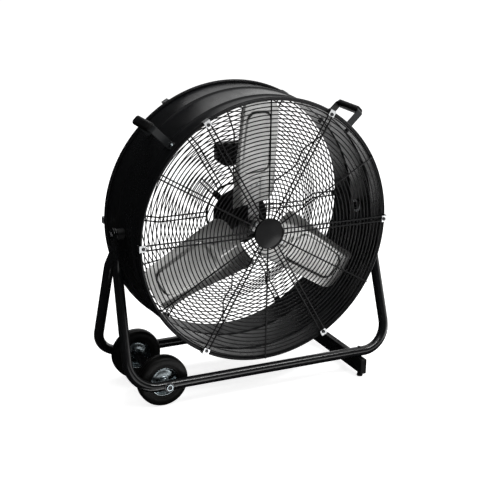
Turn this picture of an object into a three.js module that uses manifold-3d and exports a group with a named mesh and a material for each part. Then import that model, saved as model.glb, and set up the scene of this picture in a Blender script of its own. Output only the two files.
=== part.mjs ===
// Drum fan on a wheeled tube stand, built as separate pieces.
//
// Millimetres, +Z up. The floor is z = 0, X runs through the two tilt pivots,
// and Y is the axis of the drum at rest. The fan blows towards -Y.
// Wheels are on the -X side of the stand, the foot bar is on the +X side.

import * as THREE from 'three';
import { mergeVertices } from 'three/addons/utils/BufferGeometryUtils.js';
import Module from 'manifold-3d';

const wasm = await Module();
wasm.setup();

// ---------------------------------------------------------------- dimensions

// Clearance between two neighbouring pieces, and depth of a welded joint.
const GAP = 0.3;
const WELD = 0.5;
// How far a drill runs past both faces of what it cuts.
const DRILL_PAST = 1;
// Sides of a plain rod, and of the thin rod of a screw.
const SIDES = 12;
const SCREW_FACETS = 8;

// Drum: a rolled sheet shell with two beads and a curled rim at each end.
const WALL_RADIUS = 322;
const WALL_THICKNESS = 2;
const CURL_RADIUS = 5;
const RIM_RADIUS = WALL_RADIUS - WALL_THICKNESS + 2 * CURL_RADIUS;
const GROUND_CLEARANCE = 86;
const AXIS_HEIGHT = RIM_RADIUS + GROUND_CLEARANCE;
const DRUM_DEPTH = 244;
const FRONT_BEAD_Y = -63;
const REAR_BEAD_Y = 38;
const BEAD_WIDTH = 14;
const BEAD_HEIGHT = 4;
const DRUM_FACETS = 48;
const CURL_STEPS = 3;
const CURL_ARC = 1.5 * Math.PI;

// Wire guards: concentric rings welded to single and paired spokes.
const RING_WIRE = 3;
const SPOKE_WIRE = 3.8;
const RING_PITCH = 9.72;
const FIRST_RING_RADIUS = 44.3;
const OUTER_RING_RADIUS = RIM_RADIUS - CURL_RADIUS + GAP;
const PAIR_SPACING = 11.5;
const SPOKE_DIRECTIONS = 12;
const RING_SAG = 4.2;
const DISC_OVERLAP = 7;
const DISC_FACETS = 20;
const CENTRE_DISC_RADIUS = 36;
const CENTRE_DISC_THICKNESS = 1.5;
const WELDED_SPOKE = 9;

// Rear guard: its middle is dished into the drum and carries the motor.
const DISH_DEPTH = 53;
const DISH_FLOOR_RADIUS = 202;
const DISH_TOP_RADIUS = 260;
const MOTOR_RING_RADIUS = 75;
const MOTOR_RING_WIRE = 6;
const ARM_LENGTH = 52;
const ARM_SPACING = 9.2;
const ARM_COUNT = 4;

// Clips that hold the guards on the rims.
const CLIP_COUNT = 6;
const CLIP_WIDTH = 16;
const CLIP_REACH = 14;
const CLIP_THICKNESS = 1.5;
const CLIP_HOOK = 14;

// Round badge on the front guard, left blank.
const BADGE_RADIUS = 38;
const BADGE_THICKNESS = 2;
const BADGE_CROWN = 2.2;
const BADGE_FACETS = 24;
const BADGE_ROUNDNESS = 0.9;

// Rotor: three pressed blades on a hub with three arms.
const BLADE_COUNT = 3;
const BLADE_TIP_CLEARANCE = 17;
const BLADE_TIP_RADIUS = WALL_RADIUS - WALL_THICKNESS - BLADE_TIP_CLEARANCE;
const BLADE_ROOT_RADIUS = 54;
const BLADE_THICKNESS = 2;
const BLADE_MID_Y = -46;
const LEADING_TIP_WIDTH = 66;
const LEADING_ROOT_WIDTH = 76;
const TRAILING_TIP_WIDTH = 46;
const TRAILING_ROOT_WIDTH = 71;
const TIP_CORNER_RADIUS = 20;
const PITCH_TIP = 7.5;
const PITCH_ROOT = 18;
const FLANGE_PITCH = 30;
const FLANGE_WAIST_WIDTH = 15;
const FLANGE_EXTRA_WIDTH = 14;
const FLANGE_WAIST_RADIUS = 225;
const HUB_RADIUS = 18;
const HUB_FRONT_Y = -64;
const HUB_REAR_Y = -24;
const ARM_WIDTH = 34;
const ARM_END_RADIUS = 118;
const ARM_THICKNESS = 3;
const HUB_FACETS = 20;
const BLADE_STATIONS = 7;
const FACE_STEPS = 4;
const ARM_STATIONS = 5;
const ARM_NARROW_END = 0.6;
const SHAFT_RADIUS = 6;
const SHAFT_NOSE = 2;

// Motor: a flat round housing between two end bells.
const MOTOR_RADIUS = 66;
const MOTOR_FRONT_Y = 12;
const MOTOR_REAR_Y = 54;
const FRONT_BELL_DEPTH = 16;
const FRONT_BELL_NOSE_RADIUS = 26;
const REAR_BELL_DEPTH = 6;
const REAR_BELL_CROWN = 1;
const BELL_STEP = 4;
const HOUSING_EDGE = 3;
const MOTOR_FACETS = 24;
const LUG_WIDTH = 16;
const LUG_THICKNESS = 4;
const BEARING_DEPTH = 30;
const BEARING_FLOAT = 2;

// Control box on the dished middle of the rear guard.
const BOX_WIDTH = 79;
const BOX_HEIGHT = 55;
const BOX_DEPTH = 32;
const BOX_CHAMFER = 12;
const BOX_CENTRE_HEIGHT = 148;
const COVER_THICKNESS = 3;
const COVER_INSET = 1;
const KNOB_RADIUS = 15;
const KNOB_HEIGHT = 14;
const KNOB_SKIRT_HEIGHT = 6.3;
const KNOB_DRAFT = 0.9;
const KNOB_WING_WIDTH = 6.6;
const KNOB_WING_LENGTH = 27;
const KNOB_FACETS = 20;
const GLAND_RADIUS = 8;
const GLAND_NUT_LENGTH = 3;
const GLAND_DOME_RADIUS = 6.4;
const GLAND_LENGTH = 6;
const GLAND_BORE_RADIUS = 4;
const GLAND_BORE_FLOOR = 1.5;
const GLAND_ABOVE_CENTRE = -1;
const GLAND_BEHIND_FRONT = 12;

// Carrying handles on the drum.
const HANDLE_ANGLE = 44;
const HANDLE_CENTRE_Y = -17;
const HANDLE_BOLT_SPAN = 131;
const HANDLE_LEG_SPAN = 108;
const HANDLE_RISE = 60;
const HANDLE_TOP_RADIUS = WALL_RADIUS + HANDLE_RISE;
const STRAP_WIDTH = 18;
const STRAP_THICKNESS = 3;
const STRAP_BEND = 7;
const FOOT_BEND = 2;
const GRIP_WIDTH = 24;
const GRIP_THICKNESS = 16;
const GRIP_LENGTH = 94;
const GRIP_CORNER = 6.7;
const HANDLE_BOLT_RADIUS = 3;
const HANDLE_HEAD_RADIUS = 6;
const HANDLE_HEAD_HEIGHT = 3.9;
const HANDLE_NUT_RADIUS = 5.7;
const HANDLE_NUT_HEIGHT = 5.4;
const THREAD_END = 2;

// Stand: two bent tubes that cross at the pivots, their ends pressed flat.
const TUBE_RADIUS = 12.5;
const STAND_DEPTH = 248;
const STAND_CORNER_X = WALL_RADIUS + 35;
const STAND_TOP_X = WALL_RADIUS + 24;
const BEND_RADIUS = 70;
const BEND_STEPS = 5;
const TUBE_SIDES = 8;
const FLAT_THICKNESS = 5;
const FLAT_WIDTH = 34;
const FLAT_SQUARENESS = 0.25;
const ROUND_END_SHARES = [1, 0.75, 0.4];
const ROUND_END_LEAST = 0.3;
const FLAT_LENGTH = 52;
const FLARE_LENGTH = 44;

// Pivots.
const PIVOT_BOLT_RADIUS = 5;
const PIVOT_HEX_RADIUS = 9.5;
const PIVOT_SPACER_RADIUS = 14;
const PIVOT_SPACER_LENGTH = 18.6;
const PIVOT_WASHER_RADIUS = 17;
const PIVOT_WASHER_THICKNESS = 2.5;
const BOLT_HEAD_HEIGHT = 7;
const PIVOT_NUT_HEIGHT = 7;
const PIVOT_FACETS = 16;

// Wheels on one long axle.
const WHEEL_RADIUS = 63.5;
const WHEEL_WIDTH = 35;
const WHEEL_INSET = 97;
const WHEEL_CENTRE_X = WHEEL_INSET - STAND_CORNER_X;
const WHEEL_CENTRE_Y = 90;
const RIM_SEAT_RADIUS = 36;
const RIM_WIDTH = 27;
const WHEEL_HUB_RADIUS = 12;
const WHEEL_FACETS = 18;
const TYRE_PROFILE = [[0.35, 1], [0.75, 1], [0.94, 0.78], [1, 0.4]];
const HUB_WEB_SHARE = 0.75;
const WEB_DISH_SHARE = 0.45;
const WEB_OUTER_RADIUS = 28.8;
const RIM_LIP_RADIUS = 33.1;
const AXLE_RADIUS = 6;
const AXLE_WASHER_RADIUS = 12;
const AXLE_WASHER_THICKNESS = 1.6;
const AXLE_HEAD_RADIUS = 8.1;
const AXLE_HEAD_HEIGHT = 4;
const AXLE_END_LENGTH = 3;
const AXLE_NUT_RADIUS = 10.2;
const AXLE_NUT_HEIGHT = 5;
const AXLE_FACETS = 16;
const AXLE_SLEEVE_RADIUS = 12.5;

// Foot bar with its end caps and rubber feet.
const BAR_INSET = 86;
const BAR_CENTRE_X = STAND_CORNER_X - BAR_INSET;
const BAR_WIDTH = 16;
const BAR_HEIGHT = 39.7;
const BAR_LENGTH = 297;
const BAR_WALL = 1.5;
const CAP_FLANGE = 2.7;
const CAP_PLUG = 16;
const CAP_CORNER = 2;
const FOOT_INSET = 15;
const FOOT_RADIUS = 8;
const FOOT_SOLE_RADIUS = 6.8;
const FOOT_STEM_RADIUS = 6.5;
const FOOT_LIP = 3;
const FOOT_FACETS = 12;

// ------------------------------------------------------------ derived values

const HALF_DEPTH = DRUM_DEPTH / 2;
const WALL_INSIDE = WALL_RADIUS - WALL_THICKNESS;
const HOLE_DEPTH = BLADE_TIP_CLEARANCE;
const FACET_COS = Math.cos(Math.PI / DRUM_FACETS);
const STAND_HALF_DEPTH = STAND_DEPTH / 2;
const RUN_HEIGHT = WHEEL_RADIUS;
const PIVOT_RISE = AXIS_HEIGHT - RUN_HEIGHT;
const UPRIGHT_LENGTH = Math.hypot(STAND_HALF_DEPTH, PIVOT_RISE);
const STAND_TILT = Math.atan2(STAND_HALF_DEPTH, PIVOT_RISE);

// Guard planes, measured forward from the middle of the drum.
const RING_SIDES = 3;
const RING_PLANE = HALF_DEPTH + GAP + (RING_WIRE / 2) * Math.cos(Math.PI / RING_SIDES);
const SPOKE_PLANE = RING_PLANE + RING_WIRE / 2 + GAP + SPOKE_WIRE / 2;
const SPOKE_FACE = SPOKE_PLANE + SPOKE_WIRE / 2;
const SPOKE_END_RADIUS = RIM_RADIUS * FACET_COS - GAP;
const CLIP_FACE = SPOKE_FACE + GAP + CLIP_THICKNESS;

// ------------------------------------------------------------------- helpers

/** Six times the signed volume of an indexed geometry. */
function signedVolume(geometry) {
  const position = geometry.getAttribute('position');
  const index = geometry.index;
  const a = new THREE.Vector3();
  const b = new THREE.Vector3();
  const c = new THREE.Vector3();
  let total = 0;
  for (let i = 0; i < index.count; i += 3) {
    a.fromBufferAttribute(position, index.getX(i));
    b.fromBufferAttribute(position, index.getX(i + 1));
    c.fromBufferAttribute(position, index.getX(i + 2));
    total += a.dot(b.cross(c));
  }
  return total;
}

/** A geometry with shared vertices merged, no slivers and its faces outward. */
function closed(geometry) {
  const bare = new THREE.BufferGeometry();
  bare.setAttribute('position', geometry.getAttribute('position'));
  bare.setIndex(geometry.index);
  const merged = mergeVertices(bare, 1e-3);
  const source = merged.index.array;
  const faces = [];
  for (let i = 0; i < source.length; i += 3) {
    const [a, b, c] = [source[i], source[i + 1], source[i + 2]];
    if (a !== b && b !== c && c !== a) faces.push([a, b, c]);
  }
  merged.setIndex(faces.flat());
  if (signedVolume(merged) < 0) merged.setIndex(faces.map((f) => f.reverse()).flat());
  return merged;
}

/** The solid that a closed geometry bounds. */
function solid(geometry) {
  const skin = closed(geometry);
  const mesh = new wasm.Mesh({
    numProp: 3,
    vertProperties: new Float32Array(skin.getAttribute('position').array),
    triVerts: new Uint32Array(skin.index.array),
  });
  return new wasm.Manifold(mesh);
}

/** The geometry of a solid. */
function geometryOf(body) {
  const mesh = body.getMesh();
  const geometry = new THREE.BufferGeometry();
  const corners = new Float32Array(mesh.vertProperties);
  geometry.setAttribute('position', new THREE.BufferAttribute(corners, 3));
  geometry.setIndex([...mesh.triVerts]);
  return geometry;
}

/** All the geometries joined into one. */
function join(geometries) {
  return geometryOf(geometries.map(solid).reduce((whole, piece) => whole.add(piece)));
}

/** A geometry with the tools taken out of it. */
function cut(geometry, tools) {
  const left = tools.map(solid).reduce((whole, tool) => whole.subtract(tool), solid(geometry));
  return geometryOf(left);
}

/** A closed outline of [radius, along] points turned about the Y axis. */
function revolve(outline, facets, phase = 0) {
  const points = [...outline, outline[0]].map(([r, y]) => new THREE.Vector2(r, y));
  return closed(new THREE.LatheGeometry(points, facets, phase));
}

/** A round rod along Y between two values of y. */
function rod(radius, from, to, sides = SIDES) {
  return new THREE.CylinderGeometry(radius, radius, to - from, sides).translate(0, (from + to) / 2, 0);
}

/** A drill along Y that runs past both faces of what it cuts. */
function drill(radius, from, to) {
  return rod(radius, from - DRILL_PAST, to + DRILL_PAST);
}

/** A rod along X between two values of x. */
function rodX(radius, from, to, sides = SIDES) {
  return rod(radius, from, to, sides).rotateZ(-Math.PI / 2);
}

/** A box between two corners. */
function block([x0, y0, z0], [x1, y1, z1]) {
  const box = new THREE.BoxGeometry(x1 - x0, y1 - y0, z1 - z0);
  return box.translate((x0 + x1) / 2, (y0 + y1) / 2, (z0 + z1) / 2);
}

/** A skin through rings of points, capped at both ends by strips. */
function loft(rings) {
  const count = rings[0].length;
  const faces = [];
  const quad = (a, b, c, d) => faces.push(a, b, c, a, c, d);
  for (let i = 0; i + 1 < rings.length; i += 1) {
    for (let k = 0; k < count; k += 1) {
      const next = (k + 1) % count;
      quad(i * count + k, i * count + next, (i + 1) * count + next, (i + 1) * count + k);
    }
  }
  const last = (rings.length - 1) * count;
  for (let k = 0; k + 1 < count / 2; k += 1) {
    quad(k, count - 1 - k, count - 2 - k, k + 1);
    quad(last + k, last + k + 1, last + count - 2 - k, last + count - 1 - k);
  }
  const geometry = new THREE.BufferGeometry();
  const corners = rings.flat().flatMap((p) => [p.x, p.y, p.z]);
  geometry.setAttribute('position', new THREE.Float32BufferAttribute(corners, 3));
  geometry.setIndex(faces);
  return closed(geometry);
}

/** A polyline whose inner corners are rounded to one radius. */
function roundedLine(points, radius, steps) {
  const line = [points[0].clone()];
  for (let i = 1; i + 1 < points.length; i += 1) {
    const along = points[i].clone().sub(points[i - 1]).normalize();
    const onward = points[i + 1].clone().sub(points[i]).normalize();
    const turn = Math.acos(THREE.MathUtils.clamp(along.dot(onward), -1, 1));
    const side = onward.clone().addScaledVector(along, -along.dot(onward)).normalize();
    const start = points[i].clone().addScaledVector(along, -radius * Math.tan(turn / 2));
    for (let k = 0; k <= steps; k += 1) {
      const angle = (turn * k) / steps;
      const point = start.clone().addScaledVector(along, radius * Math.sin(angle));
      line.push(point.addScaledVector(side, radius * (1 - Math.cos(angle))));
    }
  }
  line.push(points.at(-1).clone());
  return line;
}

/** The closed outline of a strip of one thickness along a flat polyline. */
function stripShape(line, thickness) {
  const sides = [[], []];
  line.forEach((point, i) => {
    const before = line[Math.max(i - 1, 0)];
    const after = line[Math.min(i + 1, line.length - 1)];
    const along = after.clone().sub(before).normalize();
    const across = new THREE.Vector2(-along.y, along.x).multiplyScalar(thickness / 2);
    sides[0].push(point.clone().add(across));
    sides[1].push(point.clone().sub(across));
  });
  return new THREE.Shape([...sides[0], ...sides[1].reverse()]);
}

/** A flat shape given a thickness centred on its plane. */
function plate(shape, thickness, curveSegments = 4) {
  const options = { depth: thickness, bevelEnabled: false, curveSegments };
  return new THREE.ExtrudeGeometry(shape, options).translate(0, 0, -thickness / 2);
}

/** A hexagonal prism along Y, as a bolt head or a nut. */
function hexagon(radius, from, to) {
  return rod(radius, from, to, 6);
}

/** A group at a place, added to its parent. */
function groupIn(parent, x = 0, y = 0, z = 0) {
  const group = new THREE.Group();
  group.position.set(x, y, z);
  parent.add(group);
  return group;
}

/** A named piece of one finish, added to its parent. */
function piece(parent, name, geometry, finish) {
  const mesh = new THREE.Mesh(geometry, new THREE.MeshStandardMaterial(finish));
  mesh.name = name;
  parent.add(mesh);
  return mesh;
}

// ------------------------------------------------------------------ finishes

const BLACK_COAT = { color: 0x101112, roughness: 0.38, metalness: 0.1 };
const ALUMINIUM = { color: 0xa3a5a7, roughness: 0.34, metalness: 0.85 };
const ZINC = { color: 0xc9ccd0, roughness: 0.3, metalness: 0.9 };
const BRIGHT_STEEL = { color: 0xb4bdbd, roughness: 0.2, metalness: 0.95 };
const RUBBER = { color: 0x17181a, roughness: 0.75, metalness: 0 };
const GRIP_FOAM = { color: 0x1b1b1c, roughness: 0.85, metalness: 0 };
const BLACK_PLASTIC = { color: 0x141415, roughness: 0.5, metalness: 0 };
const STRAP_COAT = { color: 0x55585a, roughness: 0.45, metalness: 0.3 };

// ----------------------------------------------------------------- the drum

/** Points round a curled edge, from the inside of the wall to its outside. */
function curlOutline() {
  const centre = [RIM_RADIUS - CURL_RADIUS, HALF_DEPTH - CURL_RADIUS];
  const points = [];
  for (let i = 0; i <= CURL_STEPS; i += 1) {
    const angle = Math.PI - (CURL_ARC * i) / CURL_STEPS;
    points.push([centre[0] + CURL_RADIUS * Math.cos(angle), centre[1] + CURL_RADIUS * Math.sin(angle)]);
  }
  points.push([WALL_RADIUS, HALF_DEPTH - 2 * CURL_RADIUS]);
  return points;
}

/** A bead across the wall, from one side to the other. */
function beadOutline(wall, y, width) {
  return [[wall, y - width / 2], [wall + BEAD_HEIGHT, y], [wall, y + width / 2]];
}

function drumShell() {
  const rear = curlOutline();
  const front = curlOutline().map(([r, y]) => [r, -y]);
  const narrow = BEAD_WIDTH - 2 * WALL_THICKNESS;
  const outline = [
    ...front.reverse(),
    ...beadOutline(WALL_INSIDE, FRONT_BEAD_Y, narrow),
    ...beadOutline(WALL_INSIDE, REAR_BEAD_Y, narrow),
    ...rear,
    ...beadOutline(WALL_RADIUS, REAR_BEAD_Y, BEAD_WIDTH).reverse(),
    ...beadOutline(WALL_RADIUS, FRONT_BEAD_Y, BEAD_WIDTH).reverse(),
  ];
  const shell = revolve(outline, DRUM_FACETS, Math.PI / DRUM_FACETS);
  const pivotHole = PIVOT_BOLT_RADIUS + 2 * GAP;
  const holeFrom = WALL_INSIDE - HOLE_DEPTH;
  const holes = [
    rodX(pivotHole, -RIM_RADIUS, -holeFrom),
    rodX(pivotHole, holeFrom, RIM_RADIUS),
  ];
  for (const side of [-1, 1]) {
    for (const end of [-1, 1]) {
      const hole = rodX(HANDLE_BOLT_RADIUS + GAP, holeFrom, RIM_RADIUS, SCREW_FACETS);
      hole.translate(0, handleBoltY(end), 0);
      holes.push(hole.rotateY(-handleDirection(side)));
    }
  }
  return cut(shell, holes);
}

/** Direction of a handle about the drum axis: 1 is the +X side. */
function handleDirection(side) {
  const angle = THREE.MathUtils.degToRad(HANDLE_ANGLE);
  return side > 0 ? angle : Math.PI - angle;
}

function handleBoltY(end) {
  return HANDLE_CENTRE_Y + (end * HANDLE_BOLT_SPAN) / 2;
}

// --------------------------------------------------------------- wire guards

/** Number of straight sides that keeps a ring within a small sag. */
function ringFacets(radius) {
  return 2 * Math.round(Math.PI / Math.acos(1 - RING_SAG / radius) / 2);
}

/** A wire ring about Y, with one edge of its section on the spoke side. */
function wireRing(radius, y, wire) {
  const outline = [];
  for (let i = 0; i < RING_SIDES; i += 1) {
    const angle = Math.PI / 2 + (2 * Math.PI * i) / RING_SIDES;
    outline.push([radius + (wire / 2) * Math.cos(angle), y + (wire / 2) * Math.sin(angle)]);
  }
  const facets = ringFacets(radius);
  return revolve(outline, facets, Math.PI / facets);
}

/** Least radius of a ring's wire, at the middle of its straight sides. */
function nearRadius(radius) {
  return radius * Math.cos(Math.PI / ringFacets(radius));
}

/** A square wire along a line of [radius, y] points, turned to a direction. */
function spokeWire(line, sideways, direction) {
  const half = SPOKE_WIRE / 2;
  const rings = line.map(([r, y]) => [
    new THREE.Vector3(r, y - half, sideways - half),
    new THREE.Vector3(r, y + half, sideways - half),
    new THREE.Vector3(r, y + half, sideways + half),
    new THREE.Vector3(r, y - half, sideways + half),
  ]);
  return loft(rings).rotateY(-direction);
}

/** Radii of the evenly spaced rings from a first radius outwards. */
function ringRadii(first) {
  const radii = [];
  for (let r = FIRST_RING_RADIUS; r < OUTER_RING_RADIUS - RING_PITCH / 2; r += RING_PITCH) {
    if (r > first) radii.push(r);
  }
  radii.push(OUTER_RING_RADIUS);
  return radii;
}

/** How far the rear guard's spokes are dished inwards at a radius. */
function dishAt(radius) {
  const along = (DISH_TOP_RADIUS - radius) / (DISH_TOP_RADIUS - DISH_FLOOR_RADIUS);
  return DISH_DEPTH * THREE.MathUtils.clamp(along, 0, 1);
}

/** The spokes of a guard: pairs every other direction, singles between. */
function spokes(lineAt, innerRadius) {
  const wires = [];
  for (let i = 0; i < SPOKE_DIRECTIONS; i += 1) {
    const direction = (2 * Math.PI * i) / SPOKE_DIRECTIONS;
    const paired = i % 2 === 0;
    const welded = i === WELDED_SPOKE;
    const line = lineAt(innerRadius, paired ? SPOKE_END_RADIUS : OUTER_RING_RADIUS, welded);
    const offsets = paired ? [-PAIR_SPACING / 2, PAIR_SPACING / 2] : [0];
    for (const offset of offsets) wires.push(spokeWire(line, offset, direction));
  }
  return wires;
}

function frontGuard() {
  const rings = ringRadii(0).map((r) => wireRing(r, RING_PLANE, RING_WIRE));
  const straight = (from, to, welded) => {
    const y = SPOKE_PLANE - (welded ? GAP + WELD : 0);
    return [[from, y], [to, y]];
  };
  const discFrom = SPOKE_FACE - GAP - 2 * WELD;
  const disc = rod(CENTRE_DISC_RADIUS, discFrom, SPOKE_FACE + CENTRE_DISC_THICKNESS, DISC_FACETS);
  const whole = join([...rings, ...spokes(straight, CENTRE_DISC_RADIUS - DISC_OVERLAP), disc]);
  return whole.rotateX(Math.PI);
}

function rearGuard() {
  const rings = ringRadii(MOTOR_RING_RADIUS + RING_PITCH / 2).map((r) =>
    wireRing(r, RING_PLANE - dishAt(nearRadius(r)), RING_WIRE));
  const floor = RING_PLANE - DISH_DEPTH;
  rings.push(wireRing(MOTOR_RING_RADIUS, floor, MOTOR_RING_WIRE));
  const dished = (from, to, welded) => {
    const y = SPOKE_PLANE - (welded ? GAP + WELD : 0);
    const floorY = y - DISH_DEPTH;
    return [[from, floorY], [DISH_FLOOR_RADIUS, floorY], [DISH_TOP_RADIUS, y], [to, y]];
  };
  const inner = nearRadius(MOTOR_RING_RADIUS) - MOTOR_RING_WIRE / 2;
  const wires = spokes(dished, inner);
  const armY = SPOKE_PLANE - DISH_DEPTH;
  for (let i = 0; i < ARM_COUNT; i += 1) {
    const direction = (2 * Math.PI * (i + 0.5)) / ARM_COUNT;
    const line = [[inner, armY], [MOTOR_RING_RADIUS + ARM_LENGTH, armY]];
    for (const side of [-1, 1]) wires.push(spokeWire(line, (side * ARM_SPACING) / 2, direction));
  }
  return join([...rings, ...wires]);
}

/** A clip: a plate over the paired spokes, with a hook down outside the rim. */
function guardClip() {
  const outside = RIM_RADIUS * FACET_COS + GAP;
  const inside = outside - CLIP_REACH;
  const over = CLIP_FACE - CLIP_THICKNESS;
  const shape = new THREE.Shape([
    new THREE.Vector2(inside, over),
    new THREE.Vector2(outside, over),
    new THREE.Vector2(outside, CLIP_FACE - CLIP_HOOK),
    new THREE.Vector2(outside + CLIP_THICKNESS, CLIP_FACE - CLIP_HOOK),
    new THREE.Vector2(outside + CLIP_THICKNESS, CLIP_FACE - CLIP_THICKNESS / 2),
    new THREE.Vector2(outside + CLIP_THICKNESS / 2, CLIP_FACE),
    new THREE.Vector2(inside, CLIP_FACE),
  ]);
  return closed(plate(shape, CLIP_WIDTH));
}

function frontBadge() {
  const back = SPOKE_FACE + CENTRE_DISC_THICKNESS + GAP;
  const edge = back + BADGE_THICKNESS;
  const outline = [
    [0, back],
    [BADGE_RADIUS, back],
    [BADGE_RADIUS, edge],
    [BADGE_RADIUS - BADGE_CROWN, edge + BADGE_CROWN / 2],
    [BADGE_RADIUS / 2, edge + BADGE_CROWN * BADGE_ROUNDNESS],
    [0, edge + BADGE_CROWN],
  ];
  return revolve(outline, BADGE_FACETS).rotateX(Math.PI);
}

// ------------------------------------------------------------------ handles

/** Radius at which the flat of a drum facet lies. */
function facetRadius(radius) {
  return radius * FACET_COS;
}

/** Radius a foot of a handle rests on: the rear one lies on the bead. */
function handleSeat(end) {
  return facetRadius(end > 0 ? WALL_RADIUS + BEAD_HEIGHT : WALL_RADIUS) + GAP;
}

/** The bent strap, drawn with its front foot at +x and the radius along y. */
function handleStrap() {
  const [frontFoot, rearFoot] = [-1, 1].map((end) => handleSeat(end) + STRAP_THICKNESS / 2);
  const footEnd = HANDLE_BOLT_SPAN / 2 + STRAP_WIDTH / 2;
  const legX = HANDLE_LEG_SPAN / 2;
  const corners = [
    new THREE.Vector2(-footEnd, rearFoot),
    new THREE.Vector2(-legX, rearFoot),
    new THREE.Vector2(-legX, HANDLE_TOP_RADIUS),
    new THREE.Vector2(legX, HANDLE_TOP_RADIUS),
    new THREE.Vector2(legX, frontFoot),
    new THREE.Vector2(footEnd, frontFoot),
  ];
  const line = roundedCorners(corners, [FOOT_BEND, STRAP_BEND, STRAP_BEND, FOOT_BEND]);
  const strap = plate(stripShape(line, STRAP_THICKNESS), STRAP_WIDTH);
  const drill = [frontFoot - STRAP_THICKNESS, rearFoot + STRAP_THICKNESS];
  const holes = [-1, 1].map((end) =>
    rod(HANDLE_BOLT_RADIUS + GAP, ...drill, SCREW_FACETS).translate((end * HANDLE_BOLT_SPAN) / 2, 0, 0));
  return cut(strap, holes);
}

/** A polyline whose corners are rounded to a radius each. */
function roundedCorners(corners, radii) {
  const line = [corners[0]];
  radii.forEach((radius, i) => {
    line.push(...roundedLine(corners.slice(i, i + 3), radius, 2).slice(1, -1));
  });
  line.push(corners.at(-1));
  return line;
}

/** The grip: a rounded sleeve with a slot that the strap runs through. */
function handleGrip() {
  const shape = roundedRectangle(GRIP_WIDTH, GRIP_THICKNESS, GRIP_CORNER);
  const slot = roundedRectangle(STRAP_WIDTH + 2 * GAP, STRAP_THICKNESS + 2 * GAP, 0);
  shape.holes.push(new THREE.Path(slot.getPoints()));
  return closed(plate(shape, GRIP_LENGTH, 3));
}

/** A rectangle about the origin with rounded corners. */
function roundedRectangle(width, height, radius) {
  const [w, h, r] = [width / 2, height / 2, radius];
  const shape = new THREE.Shape();
  if (r === 0) {
    return new THREE.Shape([
      new THREE.Vector2(-w, -h),
      new THREE.Vector2(w, -h),
      new THREE.Vector2(w, h),
      new THREE.Vector2(-w, h),
    ]);
  }
  shape.absarc(w - r, -h + r, r, -Math.PI / 2, 0);
  shape.absarc(w - r, h - r, r, 0, Math.PI / 2);
  shape.absarc(-w + r, h - r, r, Math.PI / 2, Math.PI);
  shape.absarc(-w + r, -h + r, r, Math.PI, 1.5 * Math.PI);
  return shape;
}

/** A handle bolt with its nut drawn up inside the drum, along +Y. */
function handleBolt(end) {
  const wallInside = facetRadius(WALL_INSIDE);
  const strapTop = handleSeat(end) + STRAP_THICKNESS;
  const nutTop = wallInside - GAP;
  const nutFrom = nutTop - HANDLE_NUT_HEIGHT;
  const headFrom = strapTop + GAP;
  return join([
    hexagon(HANDLE_NUT_RADIUS, nutFrom, nutTop),
    rod(HANDLE_BOLT_RADIUS, nutFrom - THREAD_END, headFrom + HANDLE_HEAD_HEIGHT / 2, SCREW_FACETS),
    rod(HANDLE_HEAD_RADIUS, headFrom, headFrom + HANDLE_HEAD_HEIGHT, SCREW_FACETS),
  ]);
}

// -------------------------------------------------------------------- rotor

/** Smooth step from 0 to 1. */
function ease(t) {
  return t * t * (3 - 2 * t);
}

/** Places of a blade's edges and fold at a share of its length. */
function bladeChord(share) {
  const radius = THREE.MathUtils.lerp(BLADE_ROOT_RADIUS, BLADE_TIP_RADIUS, share);
  const leading = THREE.MathUtils.lerp(LEADING_ROOT_WIDTH, LEADING_TIP_WIDTH, share);
  const trailing = -THREE.MathUtils.lerp(TRAILING_ROOT_WIDTH, TRAILING_TIP_WIDTH, ease(share));
  const fromWaist = (radius - FLANGE_WAIST_RADIUS) / (FLANGE_WAIST_RADIUS - 2 * BLADE_ROOT_RADIUS);
  const flange = FLANGE_WAIST_WIDTH + FLANGE_EXTRA_WIDTH * fromWaist ** 2;
  return { leading, trailing, fold: trailing + flange };
}

/** Height of the blade's front face at x, for a share of its length. */
function bladeY(share, x) {
  const { fold } = bladeChord(share);
  const pitch = THREE.MathUtils.degToRad(THREE.MathUtils.lerp(PITCH_ROOT, PITCH_TIP, share));
  const flange = THREE.MathUtils.degToRad(FLANGE_PITCH);
  const face = BLADE_MID_Y + Math.tan(pitch) * Math.max(x, fold);
  return face - Math.tan(flange) * Math.max(fold - x, 0);
}

/** Radius of the blade's tip at x, its two corners rounded. */
function bladeTip(x) {
  const round = BLADE_TIP_RADIUS * Math.cos(Math.asin(x / BLADE_TIP_RADIUS));
  const past = Math.max(x - LEADING_TIP_WIDTH, -TRAILING_TIP_WIDTH - x) + TIP_CORNER_RADIUS;
  if (past <= 0) return round;
  const inside = Math.min(past, TIP_CORNER_RADIUS) / TIP_CORNER_RADIUS;
  return round - TIP_CORNER_RADIUS * (1 - Math.sqrt(1 - inside ** 2));
}

/** One blade along +Z: a pressed sheet with a folded trailing flange. */
function blade() {
  const rings = [];
  for (let i = 0; i <= BLADE_STATIONS; i += 1) {
    const share = i / BLADE_STATIONS;
    const { leading, trailing, fold } = bladeChord(share);
    const across = [trailing, (trailing + fold) / 2, fold];
    for (let k = 1; k <= FACE_STEPS; k += 1) {
      across.push(THREE.MathUtils.lerp(fold, leading, k / FACE_STEPS));
    }
    const front = across.map((x) => {
      const z = THREE.MathUtils.lerp(BLADE_ROOT_RADIUS, bladeTip(x), share);
      return new THREE.Vector3(x, bladeY(share, x), z);
    });
    const back = front.map((p) => new THREE.Vector3(p.x, p.y + BLADE_THICKNESS, p.z));
    rings.push([...front, ...back.reverse()]);
  }
  return loft(rings);
}

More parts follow.
